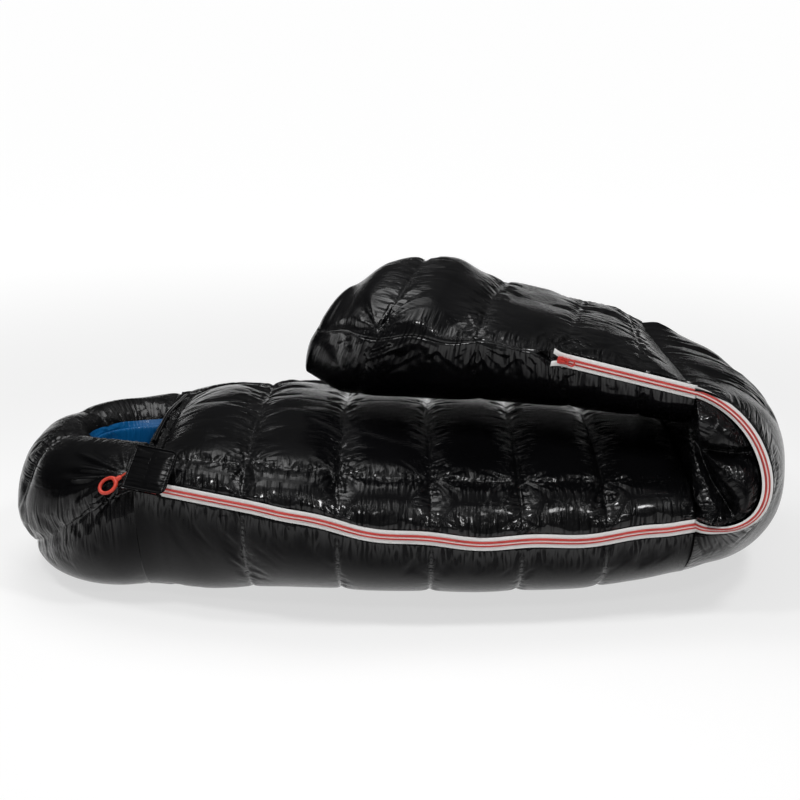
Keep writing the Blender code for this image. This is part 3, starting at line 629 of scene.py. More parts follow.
class Puckers:
    """Irregular gathers along one sewn line."""

    gap_share: Pair = (0.55, 1.5)
    width_share: Pair = (0.26, 0.42)
    height_share: Pair = (0.25, 1.0)
    reach_share: Pair = (0.35, 1.75)
    slant_share: Pair = (-0.45, 0.45)
    mean_height: float = 0.42
    reach_step: float = 0.016
    slant_step: float = 0.06
    seam_width: float = 0.004

    def __init__(self, length: float, seed: int, spacing: float = 0.0085, reach: float = 0.030) -> None:
        """Draw the gathers' places, heights, lengths and slants.

        Args:
            length: Length of the sewn line.
            seed: Seed of the random draw.
            spacing: Mean distance between gathers.
            reach: Mean length of a gather away from the line.
        """
        rng = np.random.default_rng(seed)
        count = int(length / spacing) + 12
        places = np.cumsum(spacing * rng.uniform(*self.gap_share, count)) - 5 * spacing
        self.run = np.arange(-4 * spacing, length + 4 * spacing, spacing / 14)
        gap = np.abs(self.run[:, None] - places[None, :])
        width = spacing * rng.uniform(*self.width_share, count)
        ridges = rng.uniform(*self.height_share, count)[None, :] * bell(gap, 0.0, width[None, :])
        self.height = ridges.sum(1) - self.mean_height
        knots = np.arange(self.run[0], self.run[-1] + 0.02, self.reach_step)
        self.reach = np.interp(self.run, knots, reach * rng.uniform(*self.reach_share, len(knots)))
        coarse = np.arange(self.run[0], self.run[-1] + 0.08, self.slant_step)
        self.slant = np.interp(self.run, coarse, rng.uniform(*self.slant_share, len(coarse)))

    def at(self, run: np.ndarray, away: np.ndarray) -> np.ndarray:
        """Work out the gathers' height.

        Args:
            run: Run along the line.
            away: Distance from it.

        Returns:
            The height at each point.
        """
        slanted = run + np.interp(run, self.run, self.slant) * away
        reach = np.interp(slanted, self.run, self.reach)
        fade = np.clip(1.0 - away / reach, 0.0, 1.0) ** 1.4
        return np.interp(slanted, self.run, self.height) * fade * np.clip(away / self.seam_width, 0.25, 1.0)


@dataclass
class SewnLine:
    """A seam on a grid: one column or one row, over part of the other axis."""

    index: int
    low: int
    high: int
    along_column: bool
    height: float = 0.0016
    spacing: float = 0.0085
    reach: float = 0.030
    beyond: float = 1.0
    faint: float = 1.0


@dataclass
class FreeLine:
    """A crease or seam that runs freely over a grid, through points in space."""

    points: list[Point]
    height: float = 0.0020
    spacing: float = 0.0085
    reach: float = 0.040

    def near(self, points: np.ndarray) -> tuple[np.ndarray, np.ndarray]:
        """Find how near points are to the line.

        Args:
            points: Points in space.

        Returns:
            Their distance to it and the run along it.
        """
        stops = np.array(self.points)
        away, run, done = np.full(points.shape[:-1], 9.0), np.zeros(points.shape[:-1]), 0.0
        for first, second in zip(stops, stops[1:]):
            span = second - first
            size = float(np.linalg.norm(span))
            share = np.clip((points - first) @ span / size**2, 0.0, 1.0)
            far = np.linalg.norm(points - first - share[..., None] * span, axis=-1)
            run = np.where(far < away, done + share * size, run)
            away = np.minimum(away, far)
            done += size
        return away, run


@dataclass
class Pleat(FreeLine):
    """A single fold of loose cloth, highest in its middle."""

    height: float = 0.0042
    width: float = 0.0042

    def at(self, points: np.ndarray) -> np.ndarray:
        """Return the fold's height at every point."""
        away, run = self.near(points)
        ridge = bell(away, 0.0, self.width) - 0.5 * np.exp(-((away / self.width / 2.2) ** 2))
        return self.height * ridge * np.sin(math.pi * np.clip(run / run.max(), 0.0, 1.0)) ** 0.7


@dataclass
class Gather:
    """Folds that fan out round one point of the cloth."""

    centre: Point
    reach: float
    height: float
    folds: int


class SeamMap:
    """Distance of every point to its nearest and next seam, and the run along the nearest."""

    def __init__(self, shape: tuple[int, int]) -> None:
        """Start with no seam near."""
        self.first = np.full(shape, 1.0)
        self.second = np.full(shape, 1.0)
        self.run = np.zeros(shape)

    def note(self, part: tuple[slice, slice], distance: np.ndarray, run: np.ndarray) -> None:
        """Take in one seam over a part of the grid.

        Args:
            part: Columns and rows that the seam is near.
            distance: Distance of their points to it.
            run: Run along it beside each point.
        """
        first = self.first[part].copy()
        self.run[part] = np.where(distance < first, run, self.run[part])
        self.second[part] = np.minimum(self.second[part], np.maximum(first, distance))
        self.first[part] = np.minimum(first, distance)


@dataclass
class QuiltGrid:
    """A closed loft of cloth: columns along it, rows round it."""

    points: np.ndarray
    pinned: np.ndarray
    reach: np.ndarray
    lines: list[SewnLine]
    seed: int
    gathers: list[Gather] = field(default_factory=list)
    creases: list[FreeLine] = field(default_factory=list)
    pleats: list[Pleat] = field(default_factory=list)
    lined_rows: tuple[int, int] = (0, 0)
    skin_rows: int = 0
    slit_rows: int = 4
    shut: np.ndarray | None = None
    looped: bool = False
    lump_waves: int = 24
    lump_range: Pair = (0.07, 0.20)
    crossing_width: float = 0.010
    crossing_away: float = 0.05
    ridge_range: Pair = (0.0010, 0.0034)

    def faces(self) -> np.ndarray:
        """Return the quads of the loft, without its ends."""
        columns, rows = self.points.shape[:2]
        index = np.arange(columns * rows).reshape(columns, rows)
        if self.looped:
            index = np.concatenate([index, index[:1]])
        after = np.roll(index, -1, axis=1)
        return np.stack([index[:-1], index[1:], after[1:], after[:-1]], -1).reshape(-1, 4)

    def normals(self) -> np.ndarray:
        """Return unit normals at every point, outwards."""
        along = np.gradient(self.points, axis=0)
        around = np.roll(self.points, -1, axis=1) - np.roll(self.points, 1, axis=1)
        normal = np.cross(along, around)
        length = np.linalg.norm(normal, axis=2, keepdims=True)
        return self.facing() * normal / np.maximum(length, 1e-12)

    def facing(self) -> float:
        """Return 1 where the quads as ordered point outwards, or -1."""
        corners = self.points.reshape(-1, 3)[self.faces()]
        middle = self.points.reshape(-1, 3).mean(0)
        normal = np.cross(corners[:, 1] - corners[:, 0], corners[:, 3] - corners[:, 0])
        return float(np.sign(((corners[:, 0] - middle) * normal).sum()))

    @staticmethod
    def lengths(points: np.ndarray) -> tuple[np.ndarray, np.ndarray]:
        """Measure the cloth.

        Args:
            points: Points of the loft.

        Returns:
            The distances run along the columns' axis and round the rows.
        """
        along = np.linalg.norm(np.diff(points, axis=0), axis=2)
        along = np.concatenate([np.zeros((1, along.shape[1])), np.cumsum(along, 0)])
        around = np.linalg.norm(np.diff(points, axis=1), axis=2)
        around = np.concatenate([np.zeros((around.shape[0], 1)), np.cumsum(around, 1)], 1)
        return along, around

    def lumps(self, height: float) -> None:
        """Add a slow unevenness of the filling to the free cloth."""
        rng = np.random.default_rng(self.seed)
        normal = self.normals()
        lump = np.zeros(self.points.shape[:2])
        for _ in range(self.lump_waves):
            wave = rng.normal(0.0, 1.0, 3)
            wave *= 2 * math.pi / rng.uniform(*self.lump_range) / np.linalg.norm(wave)
            lump += np.cos(self.points @ wave + rng.uniform(0, 2 * math.pi))
        lump *= height / math.sqrt(self.lump_waves / 2)
        free = np.where(self.pinned, 0.0, smooth(self.reach, 0.001, 0.008))
        self.points = self.points + normal * (lump * free)[..., None]

    def inflate(self, pressure: float, excess: float, frames: int = 12) -> None:
        """Swell the cloth between its seams by simulation, within its reach.

        Args:
            pressure: Air pressure inside.
            excess: Share by which the cloth is larger than its starting shape.
            frames: Number of steps.
        """
        start = self.points.reshape(-1, 3).copy()
        mesh = bpy.data.meshes.new("swelling")
        faces = self.faces() if self.facing() > 0 else self.faces()[:, ::-1]
        mesh.from_pydata(start.tolist(), [], faces.tolist())
        obj = linked("swelling", mesh)
        obj.vertex_groups.new(name="sewn").add(np.nonzero(self.pinned.ravel())[0].tolist(), 1.0, "REPLACE")
        cloth = obj.modifiers.new("swell", "CLOTH")
        settings = cloth.settings
        settings.quality = 4
        settings.mass = 0.1
        settings.tension_stiffness = settings.compression_stiffness = 12.0
        settings.shear_stiffness = 4.0
        settings.bending_stiffness = 0.02
        settings.air_damping = 2.0
        settings.use_pressure = True
        settings.uniform_pressure_force = pressure
        settings.shrink_min = -excess
        settings.vertex_group_mass = "sewn"
        settings.effector_weights.gravity = 0.0
        cloth.collision_settings.use_collision = False
        cloth.point_cache.frame_start, cloth.point_cache.frame_end = 1, frames
        for step in range(1, frames + 1):
            bpy.context.scene.frame_set(step)
        shown = obj.evaluated_get(bpy.context.evaluated_depsgraph_get())
        swollen = np.empty(len(start) * 3, np.float32)
        shown.data.vertices.foreach_get("co", swollen)
        move = swollen.reshape(-1, 3) - start
        bpy.data.objects.remove(obj)
        bpy.data.meshes.remove(mesh)
        bpy.context.scene.frame_set(1)
        far = np.linalg.norm(move, axis=1)
        cap = np.maximum(self.reach.ravel(), 1e-6)
        move *= (cap * np.tanh(far / cap) / np.maximum(far, 1e-9))[:, None]
        self.points = (start + move).reshape(self.points.shape)

    def refine(self) -> None:
        """Double the grid both ways along smooth curves."""
        longer = self._doubled(self.points, False)
        self.points = self._doubled(longer.swapaxes(0, 1), True).swapaxes(0, 1)
        if self.skin_rows:
            for row in (0, self.skin_rows - 1):
                self.points[:, 2 * row] = longer[:, row]
        if self.shut is not None:
            self.shut = np.repeat(self.shut, 2)[:-1]
        reach = np.repeat(self.reach, 2, axis=0)[:-1]
        self.reach = np.repeat(reach, 2, axis=1)
        for line in self.lines:
            line.index, line.low, line.high = 2 * line.index, 2 * line.low, 2 * line.high
        self.lined_rows = (2 * self.lined_rows[0], 2 * self.lined_rows[1])
        self.skin_rows, self.slit_rows = 2 * self.skin_rows, 2 * self.slit_rows

    @staticmethod
    def _doubled(points: np.ndarray, closed: bool) -> np.ndarray:
        """Double the points along the first axis.

        Args:
            points: Points of the loft.
            closed: Whether that axis closes on itself.

        Returns:
            The doubled points.
        """
        before, after = np.roll(points, 1, axis=0), np.roll(points, -1, axis=0)
        kept = 0.125 * before + 0.75 * points + 0.125 * after
        if not closed:
            kept[0], kept[-1] = points[0], points[-1]
        between = 0.5 * (points + after)
        both = np.stack([kept, between], 1).reshape(-1, *points.shape[1:])
        return both if closed else both[:-1]

    def pucker(self) -> tuple[np.ndarray, np.ndarray, np.ndarray]:
        """Raise gathers along every sewn line.

        Returns:
            The distance to the nearest line, the run along it and the share of a ridge, at each point.
        """
        along, around = self.lengths(self.points)
        shape = self.points.shape[:2]
        seams, raised = SeamMap(shape), np.zeros(shape)
        for number, line in enumerate(self.lines):
            part = slice(line.low, line.high + 1)
            if line.along_column:
                view = (slice(None), part)
                away = along[view] - along[line.index, part][None, :]
                run = np.broadcast_to(around[line.index, part][None, :], away.shape)
            else:
                view = (part, slice(None))
                away = around[view] - around[part, line.index][:, None]
                run = np.broadcast_to(along[part, line.index][:, None], away.shape)
            distance = np.abs(away)
            length = float(run.max() - run.min())
            sides = [
                Puckers(length, self.seed + 7 * number + side, line.spacing, line.reach * share)
                for side, share in enumerate((line.beyond, 1.0))
            ]
            local = run - run.min()
            high = np.where(away > 0, sides[0].at(local, distance), sides[1].at(local, distance))
            raised[view] += high * line.height
            seams.note(view, np.where(away > 0, distance / line.beyond, distance) * line.faint, run)
        for number, crease in enumerate(self.creases):
            distance, run = crease.near(self.points)
            ridges = Puckers(float(run.max()), self.seed + 300 + number, crease.spacing, crease.reach)
            raised += ridges.at(run, distance) * crease.height
            seams.note((slice(None), slice(None)), distance, run)
        normal = self.normals()
        for number, gather in enumerate(self.gathers):
            raised += self._fan(gather, normal, self.seed + 100 + number)
        for pleat in self.pleats:
            raised += pleat.at(self.points)
        free = smooth(self.reach, 0.0, 0.004)
        self.points = self.points + normal * (raised * free)[..., None]
        if self.shut is not None:
            end = self.skin_rows - self.slit_rows // 4
            half = 0.5 * self.shut[:, None] * (self.points[:, end] - self.points[:, 0])
            self.points[:, 0] += half
            self.points[:, end] -= half
        crossing = 1.0 - smooth(seams.second - seams.first, 0.0, self.crossing_width)
        ridge = smooth(raised * free, *self.ridge_range)
        return seams.first + self.crossing_away * crossing, seams.run, ridge

    def _fan(self, gather: Gather, normal: np.ndarray, seed: int) -> np.ndarray:
        """Work out folds that fan out from one point.

        Args:
            gather: Place, reach and size of the folds.
            normal: Normals of the cloth.
            seed: Seed of their draw.

        Returns:
            Their height at each point.
        """
        rng = np.random.default_rng(seed)
        offset = self.points - np.array(gather.centre)
        nearest = np.unravel_index(np.argmin((offset**2).sum(2)), offset.shape[:2])
        axis = Vector(normal[nearest])
        side = axis.cross(UP if abs(axis.z) < 0.9 else Vector((1, 0, 0))).normalized()
        other = axis.cross(side)
        flat = np.stack([offset @ np.array(side), offset @ np.array(other)], -1)
        distance = np.linalg.norm(offset, axis=2)
        turn = np.arctan2(flat[..., 1], flat[..., 0])
        wobble = turn + 0.12 * np.sin(2.0 * turn + rng.uniform(0, 6))
        folds = np.zeros(turn.shape)
        for _ in range(3):
            count = round(gather.folds * rng.uniform(0.7, 1.3))
            folds += np.cos(count * wobble + rng.uniform(0, 2 * math.pi)) / 2.0
        rise = np.clip(distance / (0.25 * gather.reach), 0.0, 1.0)
        return gather.height * folds * rise * np.clip(1.0 - distance / gather.reach, 0.0, 1.0) ** 1.3

    def to_object(self, name: str, materials: list, marks: tuple | None = None) -> Object:
        """Make the loft a closed mesh object with a cloth map in metres.

        Args:
            name: Name of the piece.
            materials: Its material, and the lining's for the lined rows.
            marks: Distance to the nearest seam, run along it and share of a fold's ridge, at each point.

        Returns:
            The new object.
        """
        columns, rows = self.points.shape[:2]
        faces = self.faces()
        outward = self.facing() > 0
        if not outward:
            faces = faces[:, ::-1]
        first = list(range(rows))
        last = list(range((columns - 1) * rows, columns * rows))
        caps = [first, last[::-1]] if outward else [first[::-1], last]
        if self.looped:
            caps = []
        mesh = bpy.data.meshes.new(name)
        mesh.from_pydata(self.points.reshape(-1, 3).tolist(), [], faces.tolist() + caps)
        for material in materials:
            mesh.materials.append(material)
        self._map_cloth(mesh, outward)
        if marks is not None:
            for title, mark in zip(("seam_away", "seam_run", "fold_ridge"), marks):
                attribute = mesh.attributes.new(title, "FLOAT", "POINT")
                attribute.data.foreach_set("value", mark.astype(np.float32).ravel())
        self._mark_faces(mesh, len(faces), len(materials) > 1)
        mesh.update()
        return linked(name, mesh)

    def _map_cloth(self, mesh: Mesh, outward: bool) -> None:
        """Give the quads a map in metres, along the loft and round it.

        Args:
            mesh: Mesh of the piece.
            outward: Whether the quads as ordered point outwards.
        """
        shut = np.concatenate([self.points, self.points[:1]]) if self.looped else self.points
        along, around = self.lengths(shut)
        closing = np.linalg.norm(shut[:, 0] - shut[:, -1], axis=1)
        around = np.concatenate([around, (around[:, -1] + closing)[:, None]], 1)
        along = np.concatenate([along, along[:, :1]], 1)
        corners = [
            np.stack([run[:-1, :-1], run[1:, :-1], run[1:, 1:], run[:-1, 1:]], -1) for run in (along, around)
        ]
        grid = np.stack(corners, -1).reshape(-1, 4, 2)
        if not outward:
            grid = grid[:, ::-1]
        values = np.zeros((len(mesh.loops), 2), np.float32)
        values[: len(grid) * 4] = grid.reshape(-1, 2)
        mesh.uv_layers.new(name="cloth").data.foreach_set("uv", values.ravel())

    def _mark_faces(self, mesh: Mesh, quads: int, lined: bool) -> None:
        """Choose the lined faces and the faces that are shaded smooth.

        Args:
            mesh: Mesh of the piece.
            quads: Number of its quads, which come before its end faces.
            lined: Whether its lined rows take a second material.
        """
        face = np.arange(len(mesh.polygons))
        row = face % self.points.shape[1]
        if lined:
            chosen = (row >= self.lined_rows[0]) & (row < self.lined_rows[1]) & (face < quads)
            mesh.polygons.foreach_set("material_index", chosen.astype(np.int32))
        even = face < quads
        if self.skin_rows:
            slit = (row >= self.skin_rows - self.slit_rows // 4) & (row < self.skin_rows + self.slit_rows)
            even &= ~(slit | (row >= self.points.shape[1] - self.slit_rows))
        mesh.polygons.foreach_set("use_smooth", even)


def plain_grid(points: np.ndarray, seed: int = 1, looped: bool = False) -> QuiltGrid:
    """Return a grid of stiff points, with no seams and nothing to swell."""
    shape = points.shape[:2]
    return QuiltGrid(points, np.ones(shape, bool), np.zeros(shape), [], seed, looped=looped)


def walk(stops: list[np.ndarray], counts: list[int]) -> np.ndarray:
    """Return rows of points between stops, each stop's own point first.

    Args:
        stops: Points of every column at each stop.
        counts: Number of rows from each stop to the next.

    Returns:
        The rows, without the last stop.
    """
    rows = []
    for first, second, count in zip(stops, stops[1:], counts):
        share = (np.arange(count) / count)[None, :, None]
        rows.append(first[:, None, :] * (1.0 - share) + second[:, None, :] * share)
    return np.concatenate(rows, axis=1)


def calm_by_zip(points: np.ndarray, rows: int, width: float) -> np.ndarray:
    """Work out how freely the cloth swells near the zip, which runs at both ends of its skin.

    Args:
        points: Points of the cloth.
        rows: Number of its skin's rows.
        width: Distance from the zip at which it swells freely.

    Returns:
        The share of its full swelling at each point.
    """
    arc = QuiltGrid.lengths(points)[1]
    from_zip = np.minimum(arc, np.abs(arc[:, rows - 1 : rows] - arc))
    return 0.15 + 0.85 * smooth(from_zip, 0.0, width)


def even_shares(points: np.ndarray, parts: list[Pair]) -> np.ndarray:
    """Spread rows evenly along a line of close points.

    Args:
        points: Close points along one column.
        parts: For each part, the share of the line where it ends and its row distance.

    Returns:
        The shares of the close points' run, from 0 to 1, at which rows lie.
    """
    gaps = np.linalg.norm(np.diff(points, axis=0), axis=1)
    arc = np.concatenate([[0.0], np.cumsum(gaps)])
    at, low = [np.zeros(1)], 0.0
    for high, step in parts:
        count = max(2, round((high - low) * arc[-1] / step))
        at.append(low + (high - low) * np.arange(1, count + 1) / count)
        low = high
    return np.interp(np.concatenate(at) * arc[-1], arc, np.linspace(0.0, 1.0, len(arc)))


# Form of the bag, after its solids

SHIFT_X = 0.00645
NECK_X, FOLD_X = -0.410, 0.450
FOLD_AXIS_Z = 0.195
GAP = 0.0006
FLOOR_SINK = 0.005
ZIP_SLOT = 0.010
ZIP_DEPTH = 0.009
TAPE_DEPTH = 0.0074
FRONT_SEAM = math.radians(38.0)
ZIP_FOOT_X, ZIP_HEAD_X = 0.234, -0.398
ZIP_WAVE, ZIP_WAVE_LENGTH = 0.0024, 0.16
NECK_HALF, NECK_ROUND = 0.2895, 0.006
LEG_YAW, LEG_YAW_RUN = 0.175, 0.14
FOOT_LEAN, FOOT_LEAN_X, FOOT_LEAN_RUN = 0.45, 0.16, 0.20
SIDE_WAVE, SIDE_WAVE_LENGTH = 0.0045, 0.115
CLOSE_SHARES = np.linspace(0.0, 1.0, 300)

# Body: x, half width, zip height, crown height, roof of the hollow, underside
TORSO_SIZES = StationTable(
    (-0.410, 0.2800, 0.2240, 0.252, 0.192, 0.000),
    (-0.330, 0.3104, 0.2184, 0.281, 0.205, 0.000),
    (-0.250, 0.3408, 0.2128, 0.291, 0.213, 0.000),
    (-0.200, 0.3598, 0.2093, 0.293, 0.215, 0.000),
    (-0.050, 0.3660, 0.1760, 0.293, 0.216, 0.000),
    (0.120, 0.3600, 0.1580, 0.289, 0.214, 0.000),
    (0.300, 0.3420, 0.1580, 0.281, 0.210, 0.004),
    (0.450, 0.3180, 0.1700, 0.272, 0.204, 0.024),
)
# Legs: x, front y, back y, underside, zip height, top
LEG_SIZES = StationTable(
    (0.450, -0.2700, 0.280, 0.2765, 0.3678, 0.387),
    (0.380, -0.2587, 0.283, 0.2820, 0.3828, 0.409),
    (0.300, -0.2457, 0.284, 0.2865, 0.3999, 0.429),
    (0.230, -0.2343, 0.282, 0.2910, 0.4149, 0.448),
    (0.160, -0.2230, 0.278, 0.2940, 0.4299, 0.466),
    (0.030, -0.1900, 0.262, 0.2980, 0.4330, 0.499),
    (-0.060, -0.1350, 0.225, 0.3000, 0.4250, 0.513),
    (-0.128, -0.0300, 0.150, 0.3250, 0.4100, 0.487),
)
# Fold: degrees round its axis, zip radius, outer radius, half width
FOLD_SIZES = StationTable(
    (-90.0, 0.025, 0.171, 0.3180),
    (-45.0, 0.040, 0.182, 0.3160),
    (0.0, 0.098, 0.180, 0.3060),
    (45.0, 0.132, 0.180, 0.2880),
    (90.0, 0.1728, 0.192, 0.2700),
)


def stacked(x: Values, y: Values, z: Values) -> np.ndarray:
    """Return points from coordinates along the bag, across it and up, moved to the shared frame."""
    x, y, z = np.broadcast_arrays(x, y, z)
    return np.stack([x + SHIFT_X, y, z], -1)


def oval(
    middle: Values, half: Values, edge: Values, rise: Values, angle: Values, inset: Values, blunt: float
) -> tuple[np.ndarray, np.ndarray]:
    """Work out a flattened oval.

    Args:
        middle: Its middle across the bag.
        half: Half its width.
        edge: Height of its widest place.
        rise: Its rise above that place, or its fall below it.
        angle: Angle round it, 0 at the zip.
        inset: How far it is drawn in.
        blunt: Least rise for the direction in which it is drawn in.

    Returns:
        The places across the bag and the heights.
    """
    across, up = -half * np.cos(angle), rise * np.sin(angle)
    side, tall = across / half**2, up / np.maximum(rise, blunt) ** 2
    size = np.hypot(side, tall)
    inset = np.minimum(inset, 0.30 * rise)
    return middle + across - side / size * inset, edge + up - tall / size * inset


def zip_height(x: Values) -> np.ndarray:
    """Return the height of the body's zip, which waves a little along its free stretch."""
    free = smooth(x, -0.24, -0.14) * (1.0 - smooth(x, 0.38, 0.44))
    return TORSO_SIZES.at(x, 2) + ZIP_WAVE * free * np.sin(x * 2 * math.pi / ZIP_WAVE_LENGTH)


def neck_room(x: Values) -> np.ndarray:
    """Return how much fuller the body's underside is at the neck, so that the hood runs on smoothly."""
    short = TORSO_SIZES.at(x, 1) - NECK_HALF
    return 0.5 * (np.sqrt(short**2 + NECK_ROUND**2) - short)


def torso_skin(x: Values, angle: Values, inset: Values) -> np.ndarray:
    """Work out points of the body's skin.

    Args:
        x: Station along the body.
        angle: Angle round it, 0 at the zip and a right angle at the crown.
        inset: How far the skin is drawn in.

    Returns:
        The points.
    """
    half, edge, crown = TORSO_SIZES.at(x, 1), zip_height(x), TORSO_SIZES.at(x, 3)
    half = half + neck_room(x) * smooth(-np.sin(angle), 0.05, 0.40)
    under = np.maximum(TORSO_SIZES.at(x, 5), 0.0)
    rise = np.where(np.sin(angle) > 0, crown - edge, edge - under + FLOOR_SINK)
    y, z = oval(0.0, half, edge, rise, angle, inset, 0.12)
    return stacked(x, y, np.maximum(z, under))


def leg_slant(x: Values, y: Values, z: Values) -> np.ndarray:
    """Turn the legs' cross planes by their yaw and the foot's lean.

    Args:
        x: Station along the legs.
        y: Place across them.
        z: Height.

    Returns:
        The turned points.
    """
    yaw = LEG_YAW * np.minimum((FOLD_X - x) / LEG_YAW_RUN, 1.0)
    lean = FOOT_LEAN * np.clip((FOOT_LEAN_X - x) / FOOT_LEAN_RUN, 0.0, 1.0)
    shift = yaw * (y - LEG_SIZES.at(x, 1)) + lean * (z - LEG_SIZES.at(x, 4))
    return stacked(x + shift, y, z)


def side_wave(x: Values) -> np.ndarray:
    """Return the waviness of the legs' side seam below the zip's end."""
    free = 1.0 - smooth(x, 0.10, 0.19)
    return SIDE_WAVE * free * np.sin(x * 2 * math.pi / SIDE_WAVE_LENGTH + 0.6)


def leg_skin(x: Values, angle: Values, inset: Values) -> np.ndarray:
    """Work out points of the legs' skin.

    Args:
        x: Station along the legs.
        angle: Angle round them, as on the body.
        inset: How far the skin is drawn in.

    Returns:
        The points.
    """
    front, back, under, edge, top = (LEG_SIZES.at(x, column) for column in range(1, 6))
    edge = edge + side_wave(x)
    rise = np.where(np.sin(angle) > 0, top - edge, edge - under + FLOOR_SINK)
    y, z = oval((back + front) / 2, (back - front) / 2, edge, rise, angle, inset, 0.10)
    return leg_slant(x, y, np.maximum(z, under))


def far_side(angle: np.ndarray) -> np.ndarray:
    """Return how far the upper skin's cloth belongs to the side away from the zip, 0 to 1."""
    return smooth(angle, 1.05, 2.2) * (1.0 - smooth(angle, 2.6, 3.75))


def fold_at(degrees: Values, radius: Values, y: Values) -> np.ndarray:
    """Return points of the fold from the angle and radius round its axis."""
    angle = np.radians(degrees)
    return stacked(FOLD_X + GAP + radius * np.cos(angle), y, FOLD_AXIS_Z + radius * np.sin(angle))


@dataclass
class Quilt:
    """A stuffed piece of the bag, sewn in channels and swollen by its filling."""

    name: str = ""
    nodes: tuple[str, ...] = ()
    step: float = 0.0048
    pressure: float = 3.0
    excess: float = 0.025
    lump: float = 0.0012
    fill: float = 0.8

    def grid(self) -> QuiltGrid:
        """Return the cloth before it is swollen."""
        raise NotImplementedError

    def build(self, materials: list, slot: Slot = Slot.SHELL) -> Object:
        """Make the piece.

        Args:
            materials: Its material, and the lining's for lined rows.
            slot: Not used.

        Returns:
            The finished piece.
        """
        grid = self.grid()
        grid.lumps(self.lump)
        if self.pressure:
            grid.inflate(self.pressure, self.excess)
        grid.refine()
        marks = grid.pucker()
        grid.points[..., 2] = np.maximum(grid.points[..., 2], 0.0)
        piece = grid.to_object(self.name, materials, marks)
        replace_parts(piece, *self.nodes)
        LOG.info("%s: %d points", self.name, len(piece.data.vertices))
        return piece


